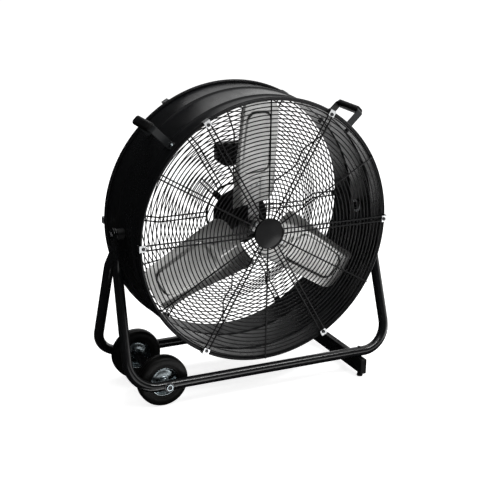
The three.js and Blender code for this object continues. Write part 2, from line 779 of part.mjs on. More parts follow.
/** Hub barrel with an arm behind each blade, shaped to the blade's face. */
function fanHub() {
  const barrel = rod(HUB_RADIUS, HUB_FRONT_Y, HUB_REAR_Y, HUB_FACETS);
  const arm = [];
  const behind = BLADE_THICKNESS + GAP;
  for (let i = 0; i <= ARM_STATIONS; i += 1) {
    const z = THREE.MathUtils.lerp(HUB_RADIUS / 2, ARM_END_RADIUS, i / ARM_STATIONS);
    const share = Math.max(0, (z - BLADE_ROOT_RADIUS) / (BLADE_TIP_RADIUS - BLADE_ROOT_RADIUS));
    const half = (ARM_WIDTH / 2) * (i === ARM_STATIONS ? ARM_NARROW_END : 1);
    const points = [-half, 0, half].map((x) => new THREE.Vector3(x, bladeY(share, x) + behind, z));
    const back = points.map((p) => new THREE.Vector3(p.x, p.y + ARM_THICKNESS, p.z));
    arm.push([...points, ...back.reverse()]);
  }
  const arms = [];
  for (let i = 0; i < BLADE_COUNT; i += 1) {
    arms.push(loft(arm).rotateY((2 * Math.PI * i) / BLADE_COUNT));
  }
  const bore = drill(SHAFT_RADIUS + GAP, HUB_FRONT_Y, HUB_REAR_Y);
  return cut(join([barrel, ...arms]), [bore]);
}

// -------------------------------------------------------------------- motor

function motorHousing() {
  const bore = drill(SHAFT_RADIUS + GAP, MOTOR_FRONT_Y, MOTOR_FRONT_Y + BEARING_DEPTH - DRILL_PAST);
  const outline = [
    [0, MOTOR_FRONT_Y],
    [MOTOR_RADIUS - HOUSING_EDGE, MOTOR_FRONT_Y],
    [MOTOR_RADIUS, MOTOR_FRONT_Y + HOUSING_EDGE],
    [MOTOR_RADIUS, MOTOR_REAR_Y - HOUSING_EDGE],
    [MOTOR_RADIUS - HOUSING_EDGE, MOTOR_REAR_Y],
    [0, MOTOR_REAR_Y],
  ];
  return cut(revolve(outline, MOTOR_FACETS), [bore]);
}

function motorFrontBell() {
  const back = MOTOR_FRONT_Y - GAP;
  const nose = back - FRONT_BELL_DEPTH;
  const shoulder = back - FRONT_BELL_DEPTH / 3;
  const noseFoot = back - (FRONT_BELL_DEPTH * 2) / 3;
  const outline = [
    [0, back],
    [MOTOR_RADIUS - BELL_STEP, back],
    [MOTOR_RADIUS - BELL_STEP * 1.5, shoulder],
    [FRONT_BELL_NOSE_RADIUS, noseFoot],
    [FRONT_BELL_NOSE_RADIUS - BELL_STEP / 2, nose],
    [0, nose],
  ];
  return cut(revolve(outline, MOTOR_FACETS), [drill(SHAFT_RADIUS + GAP, nose, back)]);
}

/** Rear bell with four lugs that are bolted to the ring of the rear guard. */
function motorRearBell() {
  const front = MOTOR_REAR_Y + GAP;
  const lugRear = RING_PLANE - DISH_DEPTH - MOTOR_RING_WIRE / 4 - GAP;
  const lugFront = lugRear - LUG_THICKNESS;
  const outline = [
    [0, front],
    [MOTOR_RADIUS - BELL_STEP, front],
    [MOTOR_RADIUS - 2 * BELL_STEP, front + REAR_BELL_DEPTH],
    [MOTOR_RADIUS / 2, front + REAR_BELL_DEPTH + REAR_BELL_CROWN],
    [MOTOR_RADIUS / 2 - BELL_STEP, lugRear],
    [0, lugRear],
  ];
  const reach = MOTOR_RING_RADIUS + LUG_WIDTH / 2;
  const half = LUG_WIDTH / 2;
  const lugs = [];
  for (let i = 0; i < ARM_COUNT / 2; i += 1) {
    const bar = block([-reach, lugFront, -half], [reach, lugRear, half]);
    lugs.push(bar.rotateY((2 * Math.PI * (i + 0.5)) / ARM_COUNT));
  }
  return join([revolve(outline, MOTOR_FACETS), ...lugs]);
}

// -------------------------------------------------------------- control box

const BOX_FRONT_Y = SPOKE_FACE - DISH_DEPTH + GAP;
const COVER_REAR_Y = BOX_FRONT_Y + BOX_DEPTH + GAP + COVER_THICKNESS;

/** Outline of the box seen from behind: a rectangle with two cut corners. */
function boxShape(inset) {
  const half = BOX_WIDTH / 2 - inset;
  const top = BOX_HEIGHT / 2 - inset;
  return new THREE.Shape([
    new THREE.Vector2(-half + BOX_CHAMFER, -top),
    new THREE.Vector2(half - BOX_CHAMFER, -top),
    new THREE.Vector2(half, -top + BOX_CHAMFER),
    new THREE.Vector2(half, top),
    new THREE.Vector2(-half, top),
    new THREE.Vector2(-half, -top + BOX_CHAMFER),
  ]);
}

/** A slab of the box outline between two values of y, about the box centre. */
function boxSlab(inset, from, to) {
  return plate(boxShape(inset), to - from).rotateX(Math.PI / 2).translate(0, (from + to) / 2, 0);
}

function controlBox() {
  return closed(boxSlab(0, BOX_FRONT_Y, BOX_FRONT_Y + BOX_DEPTH));
}

function controlCover() {
  return closed(boxSlab(COVER_INSET, COVER_REAR_Y - COVER_THICKNESS, COVER_REAR_Y));
}

/** Rotary knob with a raised pointer bar on a drafted skirt. */
function speedKnob() {
  const base = COVER_REAR_Y + GAP;
  const skirtTop = base + KNOB_SKIRT_HEIGHT;
  const outline = [
    [0, base],
    [KNOB_RADIUS, base],
    [KNOB_RADIUS - KNOB_DRAFT, skirtTop],
    [0, skirtTop],
  ];
  const [x, z] = [KNOB_WING_WIDTH / 2, KNOB_WING_LENGTH / 2];
  const wing = block([-x, base + KNOB_SKIRT_HEIGHT / 2, -z], [x, base + KNOB_HEIGHT, z]);
  return join([revolve(outline, KNOB_FACETS), wing]);
}

/** Cable gland on the side of the box: a nut and a stepped dome, along +Y. */
function cableGland() {
  const nut = hexagon(GLAND_RADIUS, 0, GLAND_NUT_LENGTH);
  const outline = [
    [0, 0],
    [GLAND_DOME_RADIUS, 0],
    [GLAND_DOME_RADIUS, (GLAND_NUT_LENGTH + GLAND_LENGTH) / 2],
    [(GLAND_DOME_RADIUS + GLAND_BORE_RADIUS) / 2, GLAND_LENGTH],
    [0, GLAND_LENGTH],
  ];
  const bore = rod(GLAND_BORE_RADIUS, GLAND_BORE_FLOOR, GLAND_LENGTH + DRILL_PAST);
  return cut(join([nut, revolve(outline, SIDES)]), [bore]);
}

// -------------------------------------------------------------------- stand

const INNER_FLAT_X = facetRadius(WALL_RADIUS) + GAP + PIVOT_SPACER_LENGTH + GAP + FLAT_THICKNESS / 2;
const OUTER_FLAT_X = INNER_FLAT_X + FLAT_THICKNESS + GAP;

/** Section of a tube: round at 0, pressed flat at 1, as [across, sideways]. */
function tubeSection(flatness, narrowing = 1) {
  const halfThick = THREE.MathUtils.lerp(TUBE_RADIUS, FLAT_THICKNESS / 2, flatness);
  const halfWide = THREE.MathUtils.lerp(TUBE_RADIUS, FLAT_WIDTH / 2, flatness) * narrowing;
  const power = THREE.MathUtils.lerp(1, FLAT_SQUARENESS, flatness);
  const points = [];
  for (let i = 0; i < TUBE_SIDES; i += 1) {
    const angle = (2 * Math.PI * (i + 0.5)) / TUBE_SIDES;
    const [c, s] = [Math.cos(angle), Math.sin(angle)];
    const squared = [c, s].map((v) => Math.sign(v) * Math.abs(v) ** power);
    points.push([squared[0] * halfThick, squared[1] * halfWide]);
  }
  return points;
}

/**
 * One stand tube in its own plane: z runs up to the pivot at the origin.
 * Each upright ends in a flat with a round end, at flatX from the middle.
 */
function standTube(flatX, tilt) {
  const lean = (z) => THREE.MathUtils.lerp(STAND_TOP_X, STAND_CORNER_X, -z / UPRIGHT_LENGTH);
  const endRadius = FLAT_WIDTH / 2;
  const flareZ = -FLAT_LENGTH - FLARE_LENGTH;
  const corners = [
    new THREE.Vector3(-lean(flareZ), 0, flareZ),
    new THREE.Vector3(-STAND_CORNER_X, 0, -UPRIGHT_LENGTH),
    new THREE.Vector3(STAND_CORNER_X, 0, -UPRIGHT_LENGTH),
    new THREE.Vector3(lean(flareZ), 0, flareZ),
  ];
  const bends = roundedLine(corners, BEND_RADIUS, BEND_STEPS);
  const rings = [];
  const addRing = (centre, tangent, section) => {
    const across = new THREE.Vector3(tangent.z, 0, -tangent.x);
    rings.push(section.map(([u, v]) =>
      centre.clone().addScaledVector(across, u).add(new THREE.Vector3(0, v, 0))));
  };
  const flatEnd = (side) => {
    const stations = ROUND_END_SHARES.map((share) => ({
      z: endRadius * share,
      narrowing: Math.max(Math.sqrt(1 - share ** 2), ROUND_END_LEAST),
    }));
    stations.push({ z: -FLAT_LENGTH, narrowing: 1 });
    const tangent = new THREE.Vector3(0, 0, side);
    const ordered = side < 0 ? stations : stations.reverse();
    for (const { z, narrowing } of ordered) {
      addRing(new THREE.Vector3(side * flatX, 0, z), tangent, tubeSection(1, narrowing));
    }
  };
  flatEnd(-1);
  bends.forEach((point, i) => {
    const before = bends[Math.max(i - 1, 0)];
    const after = bends[Math.min(i + 1, bends.length - 1)];
    addRing(point, after.clone().sub(before).normalize(), tubeSection(0));
  });
  flatEnd(1);
  const reach = OUTER_FLAT_X + TUBE_RADIUS;
  const pivot = rodX(PIVOT_BOLT_RADIUS + GAP, -reach, reach);
  const axle = rod(AXLE_RADIUS + GAP, -TUBE_RADIUS * 2, TUBE_RADIUS * 2);
  axle.rotateX(-tilt).translate(WHEEL_CENTRE_X, 0, -UPRIGHT_LENGTH);
  return cut(loft(rings), [pivot, axle]);
}

function pivotBolt() {
  const underHead = OUTER_FLAT_X + FLAT_THICKNESS / 2 + GAP;
  const inside = pivotNutFrom() - THREAD_END;
  return join([
    rod(PIVOT_BOLT_RADIUS, inside, underHead + BOLT_HEAD_HEIGHT / 2),
    hexagon(PIVOT_HEX_RADIUS, underHead, underHead + BOLT_HEAD_HEIGHT),
  ]);
}

/** Distance from the middle of the drum to the inner face of the pivot nut. */
function pivotNutFrom() {
  return facetRadius(WALL_INSIDE) - GAP - PIVOT_WASHER_THICKNESS - GAP - PIVOT_NUT_HEIGHT;
}

function pivotNut() {
  const from = pivotNutFrom();
  const to = from + PIVOT_NUT_HEIGHT;
  return cut(hexagon(PIVOT_HEX_RADIUS, from, to), [drill(PIVOT_BOLT_RADIUS + GAP, from, to)]);
}

function pivotWasher() {
  const to = facetRadius(WALL_INSIDE) - GAP;
  const from = to - PIVOT_WASHER_THICKNESS;
  const disc = rod(PIVOT_WASHER_RADIUS, from, to, PIVOT_FACETS);
  return cut(disc, [drill(PIVOT_BOLT_RADIUS + 2 * GAP, from, to)]);
}

function pivotSpacer() {
  const from = facetRadius(WALL_RADIUS) + GAP;
  const to = from + PIVOT_SPACER_LENGTH;
  const sleeve = rod(PIVOT_SPACER_RADIUS, from, to, PIVOT_FACETS);
  return cut(sleeve, [drill(PIVOT_BOLT_RADIUS + GAP, from, to)]);
}

// ------------------------------------------------------------------- wheels

const WHEEL_HUB_REACH = STAND_HALF_DEPTH - TUBE_RADIUS - GAP - WHEEL_CENTRE_Y;

function tyre() {
  const inside = RIM_SEAT_RADIUS + GAP;
  const half = WHEEL_WIDTH / 2;
  const bead = RIM_WIDTH / 2;
  const outer = [[inside, bead]];
  for (const [rise, width] of TYRE_PROFILE) {
    outer.push([THREE.MathUtils.lerp(inside, WHEEL_RADIUS, rise), half * width]);
  }
  const mirrored = outer.map(([r, y]) => [r, -y]).reverse();
  return revolve([...outer, ...mirrored], WHEEL_FACETS);
}

/** Pressed rim: a seat for the tyre, dished webs and a hub barrel. */
function wheelRim() {
  const seat = RIM_WIDTH / 2;
  const half = [
    [AXLE_RADIUS + GAP, WHEEL_HUB_REACH],
    [WHEEL_HUB_RADIUS, WHEEL_HUB_REACH],
    [WHEEL_HUB_RADIUS, seat * HUB_WEB_SHARE],
    [WEB_OUTER_RADIUS, seat * WEB_DISH_SHARE],
    [RIM_LIP_RADIUS, seat],
    [RIM_SEAT_RADIUS, seat],
  ];
  const mirrored = half.map(([r, y]) => [r, -y]).reverse();
  return revolve([...half, ...mirrored], WHEEL_FACETS);
}

function wheelAxle() {
  const seat = STAND_HALF_DEPTH + TUBE_RADIUS + GAP;
  const washerFace = -seat - AXLE_WASHER_THICKNESS;
  const headFace = washerFace - AXLE_HEAD_HEIGHT;
  const outline = [
    [0, seat + AXLE_END_LENGTH],
    [AXLE_RADIUS, seat + AXLE_END_LENGTH],
    [AXLE_RADIUS, -seat],
    [AXLE_WASHER_RADIUS, -seat],
    [AXLE_WASHER_RADIUS, washerFace],
    [AXLE_HEAD_RADIUS, washerFace],
    [AXLE_HEAD_RADIUS, headFace],
    [0, headFace],
  ];
  return revolve(outline, AXLE_FACETS);
}

function axleNut() {
  const seat = STAND_HALF_DEPTH + TUBE_RADIUS + GAP;
  const nut = hexagon(AXLE_NUT_RADIUS, seat, seat + AXLE_NUT_HEIGHT);
  return cut(nut, [drill(AXLE_RADIUS + GAP, seat, seat + AXLE_NUT_HEIGHT)]);
}

function axleTube() {
  const half = WHEEL_CENTRE_Y - WHEEL_HUB_REACH - GAP;
  return revolve([
    [AXLE_RADIUS + GAP, -half],
    [AXLE_SLEEVE_RADIUS, -half],
    [AXLE_SLEEVE_RADIUS, half],
    [AXLE_RADIUS + GAP, half],
  ], AXLE_FACETS);
}

// ----------------------------------------------------------------- foot bar

const BAR_TOP = RUN_HEIGHT - TUBE_RADIUS - GAP;
const BAR_MIDDLE = BAR_TOP - BAR_HEIGHT / 2;

function footBar() {
  const half = [BAR_WIDTH / 2, BAR_LENGTH / 2, BAR_HEIGHT / 2];
  const bore = [half[0] - BAR_WALL, half[1] + DRILL_PAST, half[2] - BAR_WALL];
  const bar = block(half.map((v) => -v), half);
  return cut(bar, [block(bore.map((v) => -v), bore)]);
}

/** End cap along +Y: a plug in the bar and a flange over its end. */
function footBarCap() {
  const end = BAR_LENGTH / 2;
  const plug = [BAR_WIDTH / 2 - BAR_WALL - GAP, BAR_HEIGHT / 2 - BAR_WALL - GAP];
  const flange = [BAR_WIDTH / 2, BAR_HEIGHT / 2];
  const shape = roundedRectangle(2 * flange[0], 2 * flange[1], CAP_CORNER);
  const lid = plate(shape, CAP_FLANGE, 2).rotateX(Math.PI / 2).translate(0, end + GAP + CAP_FLANGE / 2, 0);
  return join([
    block([-plug[0], end - CAP_PLUG, -plug[1]], [plug[0], end + GAP + CAP_FLANGE / 2, plug[1]]),
    lid,
  ]);
}

/** Rubber foot under the bar, about its own middle, standing on z = 0. */
function footPad() {
  const top = BAR_TOP - BAR_HEIGHT - GAP;
  const outline = [
    [0, 0],
    [FOOT_SOLE_RADIUS, 0],
    [FOOT_RADIUS, FOOT_RADIUS - FOOT_SOLE_RADIUS],
    [FOOT_RADIUS, FOOT_LIP],
    [FOOT_STEM_RADIUS, FOOT_LIP + FOOT_RADIUS - FOOT_STEM_RADIUS],
    [FOOT_STEM_RADIUS, top],
    [0, top],
  ];
  return revolve(outline, FOOT_FACETS).rotateX(Math.PI / 2);
}

// ----------------------------------------------------------------- assembly

const fan = new THREE.Group();

/** The two stand tubes, each tilted about the pivot axis to its side. */
function buildStandTubes(parent) {
  const sides = [
    ['front_frame_tube', -STAND_TILT, OUTER_FLAT_X],
    ['rear_frame_tube', STAND_TILT, INNER_FLAT_X],
  ];
  for (const [name, tilt, flatX] of sides) {
    const plane = groupIn(parent, 0, 0, AXIS_HEIGHT);
    plane.rotation.x = tilt;
    piece(plane, name, standTube(flatX, tilt), BLACK_COAT);
  }
}

/** Bolts, spacers and nuts of the two pivots, which stay with the stand. */
function buildPivots(parent) {
  for (const [side, turn] of [['left', Math.PI / 2], ['right', -Math.PI / 2]]) {
    const axis = groupIn(parent, 0, 0, AXIS_HEIGHT);
    axis.rotation.z = turn;
    piece(axis, `pivot_bolt_${side}`, pivotBolt(), BRIGHT_STEEL);
    piece(axis, `pivot_spacer_${side}`, pivotSpacer(), BLACK_PLASTIC);
    piece(axis, `pivot_nut_${side}`, pivotNut(), BRIGHT_STEEL);
  }
}

/** The foot bar with a cap and a rubber foot near each end. */
function buildFootBar(parent) {
  const bar = groupIn(parent, BAR_CENTRE_X, 0, BAR_MIDDLE);
  const footReach = BAR_LENGTH / 2 - FOOT_INSET;
  piece(bar, 'foot_bar', footBar(), BLACK_COAT);
  for (const [name, end] of [['front', -1], ['rear', 1]]) {
    const cap = piece(bar, `foot_bar_cap_${name}`, footBarCap(), BLACK_PLASTIC);
    cap.rotation.z = end < 0 ? Math.PI : 0;
    const foot = piece(parent, `foot_pad_${name}`, footPad(), RUBBER);
    foot.position.set(BAR_CENTRE_X, end * footReach, 0);
  }
}

function buildAxle(parent) {
  const axle = groupIn(parent, WHEEL_CENTRE_X, 0, WHEEL_RADIUS);
  piece(axle, 'wheel_axle', wheelAxle(), BRIGHT_STEEL);
  piece(axle, 'axle_nut', axleNut(), BRIGHT_STEEL);
  piece(axle, 'axle_tube', axleTube(), BLACK_COAT);
  for (const [side, y] of [['front', -WHEEL_CENTRE_Y], ['rear', WHEEL_CENTRE_Y]]) {
    const wheel = groupIn(axle, 0, y, 0);
    piece(wheel, `tyre_${side}`, tyre(), RUBBER);
    piece(wheel, `wheel_rim_${side}`, wheelRim(), BRIGHT_STEEL);
  }
}

/** Guards with their clips, on both ends of the drum. */
function buildGuards(drum) {
  piece(drum, 'front_grille', frontGuard(), BLACK_COAT);
  piece(drum, 'rear_grille', rearGuard(), BLACK_COAT);
  piece(drum, 'front_badge', frontBadge(), BLACK_PLASTIC);
  for (const [end, flip] of [['front', Math.PI], ['rear', 0]]) {
    for (let i = 0; i < CLIP_COUNT; i += 1) {
      const place = groupIn(drum);
      place.rotation.y = -(2 * Math.PI * i) / CLIP_COUNT;
      const clip = piece(place, `${end}_clip_${i + 1}`, guardClip(), ZINC);
      clip.rotation.x = flip;
    }
  }
}

/** The two handles, each built pointing along +X and turned to its place. */
function buildHandles(drum) {
  for (const [side, direction] of [['left', handleDirection(-1)], ['right', handleDirection(1)]]) {
    const place = groupIn(drum);
    place.rotation.y = -direction;
    const frame = groupIn(place, 0, HANDLE_CENTRE_Y, 0);
    frame.rotation.z = -Math.PI / 2;
    piece(frame, `handle_strap_${side}`, handleStrap(), STRAP_COAT);
    const grip = piece(frame, `handle_grip_${side}`, handleGrip(), GRIP_FOAM);
    grip.rotation.y = Math.PI / 2;
    grip.position.y = HANDLE_TOP_RADIUS;
    for (const [name, end] of [['front', -1], ['rear', 1]]) {
      const bolt = piece(frame, `handle_bolt_${side}_${name}`, handleBolt(end), BRIGHT_STEEL);
      bolt.position.x = (-end * HANDLE_BOLT_SPAN) / 2;
    }
  }
}

function buildMotor(drum) {
  piece(drum, 'motor_housing', motorHousing(), BLACK_COAT);
  piece(drum, 'motor_front_bell', motorFrontBell(), BLACK_COAT);
  piece(drum, 'motor_rear_bell', motorRearBell(), BLACK_COAT);
}

function buildRotor(drum) {
  const rotor = groupIn(drum);
  const shaftEnd = MOTOR_FRONT_Y + BEARING_DEPTH - BEARING_FLOAT;
  const shaft = rod(SHAFT_RADIUS, HUB_FRONT_Y - SHAFT_NOSE, shaftEnd);
  piece(rotor, 'motor_shaft', shaft, BRIGHT_STEEL);
  piece(rotor, 'fan_hub', fanHub(), BLACK_COAT);
  for (let i = 0; i < BLADE_COUNT; i += 1) {
    const sheet = piece(rotor, `blade_${i + 1}`, blade(), ALUMINIUM);
    sheet.rotation.y = -(2 * Math.PI * i) / BLADE_COUNT;
  }
}

function buildControls(drum) {
  const box = groupIn(drum, 0, 0, BOX_CENTRE_HEIGHT);
  piece(box, 'control_box', controlBox(), BLACK_PLASTIC);
  piece(box, 'control_box_cover', controlCover(), BLACK_PLASTIC);
  piece(box, 'speed_knob', speedKnob(), BLACK_PLASTIC);
  const gland = piece(box, 'cable_gland', cableGland(), BLACK_PLASTIC);
  gland.rotation.z = Math.PI / 2;
  gland.position.set(-BOX_WIDTH / 2 - GAP, BOX_FRONT_Y + GLAND_BEHIND_FRONT, GLAND_ABOVE_CENTRE);
}

/** Washers inside the drum wall, which turn with the drum. */
function buildPivotWashers(drum) {
  for (const [side, turn] of [['left', Math.PI / 2], ['right', -Math.PI / 2]]) {
    const washer = piece(drum, `pivot_washer_${side}`, pivotWasher(), ZINC);
    washer.rotation.z = turn;
  }
}

buildStandTubes(fan);
buildPivots(fan);
buildFootBar(fan);
buildAxle(fan);
const drum = groupIn(fan, 0, 0, AXIS_HEIGHT);
piece(drum, 'drum_shell', drumShell(), BLACK_COAT);
buildGuards(drum);
buildHandles(drum);
buildMotor(drum);
buildRotor(drum);
buildControls(drum);
buildPivotWashers(drum);

export default fan;
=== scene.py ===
"""Drum fan on a wheeled tube stand, dressed for the render around its fixed frame.

Metres, +Z up. The floor is z = 0, X runs through the two tilt pivots and Y is the axis of the
drum, which blows towards -Y. The wheels are on the -X side and the foot bar on the +X side.
"""

from __future__ import annotations

import logging
import math
from dataclasses import dataclass, field
from enum import Enum
from typing import Iterable, Sequence

import bmesh
import bpy
from mathutils import Euler, Matrix, Vector


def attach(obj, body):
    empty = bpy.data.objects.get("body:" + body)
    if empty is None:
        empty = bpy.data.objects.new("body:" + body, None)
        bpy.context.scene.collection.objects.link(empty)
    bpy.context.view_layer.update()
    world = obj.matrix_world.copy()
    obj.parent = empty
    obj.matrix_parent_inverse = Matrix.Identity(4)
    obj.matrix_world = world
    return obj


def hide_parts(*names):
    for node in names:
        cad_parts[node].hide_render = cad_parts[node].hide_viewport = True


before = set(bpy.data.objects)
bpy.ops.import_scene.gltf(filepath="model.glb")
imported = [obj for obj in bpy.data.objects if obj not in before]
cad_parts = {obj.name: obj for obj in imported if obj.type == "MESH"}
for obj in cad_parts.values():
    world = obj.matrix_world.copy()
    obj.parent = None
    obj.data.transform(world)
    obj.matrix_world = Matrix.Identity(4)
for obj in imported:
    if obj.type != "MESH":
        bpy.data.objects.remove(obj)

LOG = logging.getLogger("drum_fan")

Colour = tuple[float, float, float]
Corner = tuple[float, float, float]
Size = tuple[float, float]
Seats = list[tuple[Vector, Vector]]

# Sizes that several sub-assemblies share.
AXIS_HEIGHT = 0.416
AXIS = Matrix.Translation((0.0, 0.0, AXIS_HEIGHT))
GAP = 0.0003
MERGE_DISTANCE = 1e-6
SHARP = 38.0


class Body(Enum):
    """Bodies of the frame that a piece can ride on."""

    STAND = "stand"
    DRUM = "drum"
    ROTOR = "rotor"
    KNOB = "knob"
    WHEEL_FRONT = "wheel_front"
    WHEEL_REAR = "wheel_rear"


class Slot(Enum):
    """Material slots of the record."""

    BLACK_COAT = "black_coat"
    BLADE_SHEET = "blade_sheet"
    ZINC = "zinc"
    BRIGHT_STEEL = "bright_steel"
    TYRE_RUBBER = "tyre_rubber"
    FOOT_RUBBER = "foot_rubber"
    GRIP_FOAM = "grip_foam"
    STRAP_COAT = "strap_coat"
    BLACK_PLASTIC = "black_plastic"


class End(Enum):
    """Ends of the drum and of the stand, with their sign along Y."""

    FRONT = -1
    REAR = 1

    @property
    def word(self) -> str:
        """Name of the end inside node names."""
        return self.name.lower()


class Side(Enum):
    """Sides of the fan seen from the front, with their sign along X."""

    LEFT = -1
    RIGHT = 1

    @property
    def word(self) -> str:
        """Name of the side inside node names."""
        return self.name.lower()


# --------------------------------------------------------------------------- node benches


class Number:
    """A socket that carries a number; arithmetic on it adds Math nodes to its tree."""

    def __init__(self, bench: "Bench", socket: bpy.types.NodeSocket) -> None:
        """Wraps one output socket of a bench's tree."""
        self.bench = bench
        self.socket = socket

    def __add__(self, other: "Number | float") -> "Number":
        """Sum of two numbers."""
        return self.bench.math("ADD", self, other)

    __radd__ = __add__

    def __sub__(self, other: "Number | float") -> "Number":
        """Difference of two numbers."""
        return self.bench.math("SUBTRACT", self, other)

    def __rsub__(self, other: float) -> "Number":
        """Difference with this number taken away."""
        return self.bench.math("SUBTRACT", other, self)

    def __mul__(self, other: "Number | float") -> "Number":
        """Product of two numbers."""
        return self.bench.math("MULTIPLY", self, other)

    __rmul__ = __mul__

    def __truediv__(self, other: "Number | float") -> "Number":
        """Quotient of two numbers."""
        return self.bench.math("DIVIDE", self, other)

    def __neg__(self) -> "Number":
        """This number with its sign turned."""
        return self.bench.math("MULTIPLY", self, -1.0)

    def between(self, low: float, high: float) -> "Number":
        """Share of the way from low to high, held within 0 and 1.

        Args:
            low: value that gives 0.
            high: value that gives 1.

        Returns:
            The share.
        """
        inputs = {"Value": self, "From Min": low, "From Max": high}
        node = self.bench.node("ShaderNodeMapRange", {"clamp": True}, inputs)
        return Number(self.bench, node.outputs[0])


class Bench:
    """A node tree under construction."""

    def __init__(self, tree: bpy.types.NodeTree) -> None:
        """Takes the tree that the nodes go into."""
        self.tree = tree

    def feed(self, socket: bpy.types.NodeSocket, value: object) -> None:
        """Links a value into a socket, or sets it there.

        Args:
            socket: the input socket.
            value: a Number, an output socket or a plain value.
        """
        if isinstance(value, Number):
            value = value.socket
        if isinstance(value, bpy.types.NodeSocket):
            self.tree.links.new(value, socket)
        else:
            socket.default_value = value

    def node(self, kind: str, settings: dict | None = None, inputs: dict | None = None) -> bpy.types.Node:
        """Adds one node.

        Args:
            kind: the node's type name.
            settings: the node's own properties, set first.
            inputs: values or links by socket name or index.

        Returns:
            The new node.
        """
        node = self.tree.nodes.new(kind)
        for name, value in (settings or {}).items():
            setattr(node, name, value)
        for key, value in (inputs or {}).items():
            self.feed(node.inputs[key], value)
        return node

    def math(self, operation: str, *values: "Number | float") -> Number:
        """Adds a Math node for one operation on the values."""
        node = self.node("ShaderNodeMath", {"operation": operation}, dict(enumerate(values)))
        return Number(self, node.outputs[0])

    def vector(self, x: object = 0.0, y: object = 0.0, z: object = 0.0) -> bpy.types.NodeSocket:
        """Combines three numbers into a vector socket."""
        return self.node("ShaderNodeCombineXYZ", None, {0: x, 1: y, 2: z}).outputs[0]

    def background_rays(self) -> Number:
        """Says which rays show the white surroundings.

        Returns:
            1 for rays from the camera, from a shiny surface and through a clear one, and 0 for others.
        """
        path = self.node("ShaderNodeLightPath")
        kinds = ("Is Camera Ray", "Is Glossy Ray", "Is Transmission Ray")
        camera, glossy, clear = (Number(self, path.outputs[kind]) for kind in kinds)
        return camera + glossy + clear


class ShaderBench(Bench):
    """A material under construction, with its patterns on object coordinates."""

    def __init__(self, name: str) -> None:
        """Starts an empty material with one Principled shader.

        Args:
            name: the material's name.
        """
        self.material = bpy.data.materials.new(name)
        self.material.use_nodes = True
        super().__init__(self.material.node_tree)
        self.tree.nodes.clear()
        self.shader = self.node("ShaderNodeBsdfPrincipled")
        output = self.node("ShaderNodeOutputMaterial")
        self.tree.links.new(self.shader.outputs[0], output.inputs["Surface"])
        self.place = self.node("ShaderNodeTexCoord").outputs["Object"]

    def stretched(self, scale: Colour) -> bpy.types.NodeSocket:
        """Object coordinates scaled along each axis."""
        mapping = self.node("ShaderNodeMapping", None, {"Vector": self.place, "Scale": scale})
        return mapping.outputs[0]

    def noise(self, scale: float, detail: float = 3.0, stretch: Colour = (1.0, 1.0, 1.0)) -> Number:
        """Noise over the surface.

        Args:
            scale: features per metre.
            detail: octaves of finer noise.
            stretch: scale along each axis, to draw the features out.

        Returns:
            The noise, about 0 to 1.
        """
        inputs = {"Vector": self.stretched(stretch), "Scale": scale, "Detail": detail}
        return Number(self, self.node("ShaderNodeTexNoise", None, inputs).outputs[0])

    def grains(self, scale: float) -> Number:
        """Distance to the nearest of many scattered points, for pores and spangle."""
        inputs = {"Vector": self.place, "Scale": scale}
        return Number(self, self.node("ShaderNodeTexVoronoi", None, inputs).outputs["Distance"])

    def blend(self, share: object, low: Colour, high: Colour) -> bpy.types.NodeSocket:
        """Colour between two colours.

        Args:
            share: the way from low to high, as a value or a link.
            low: colour at 0.
            high: colour at 1.

        Returns:
            The mixed colour.
        """
        node = self.node("ShaderNodeMix", {"data_type": "RGBA"})
        self.feed(node.inputs[0], share)
        self.feed(node.inputs[6], (*low, 1.0))
        self.feed(node.inputs[7], (*high, 1.0))
        return node.outputs[2]

    def bump(self, height: Number, strength: float, distance: float) -> None:
        """Feeds the shader's normal from a height pattern."""
        inputs = {"Height": height, "Strength": strength, "Distance": distance}
        self.feed(self.shader.inputs["Normal"], self.node("ShaderNodeBump", None, inputs).outputs[0])

    def finish(self, **sockets: object) -> bpy.types.Material:
        """Sets the shader's sockets and returns the material.

        Args:
            sockets: values by socket name, with spaces as underscores.

        Returns:
            The finished material.
        """
        for name, value in sockets.items():
            self.feed(self.shader.inputs[name.replace("_", " ")], value)
        return self.material


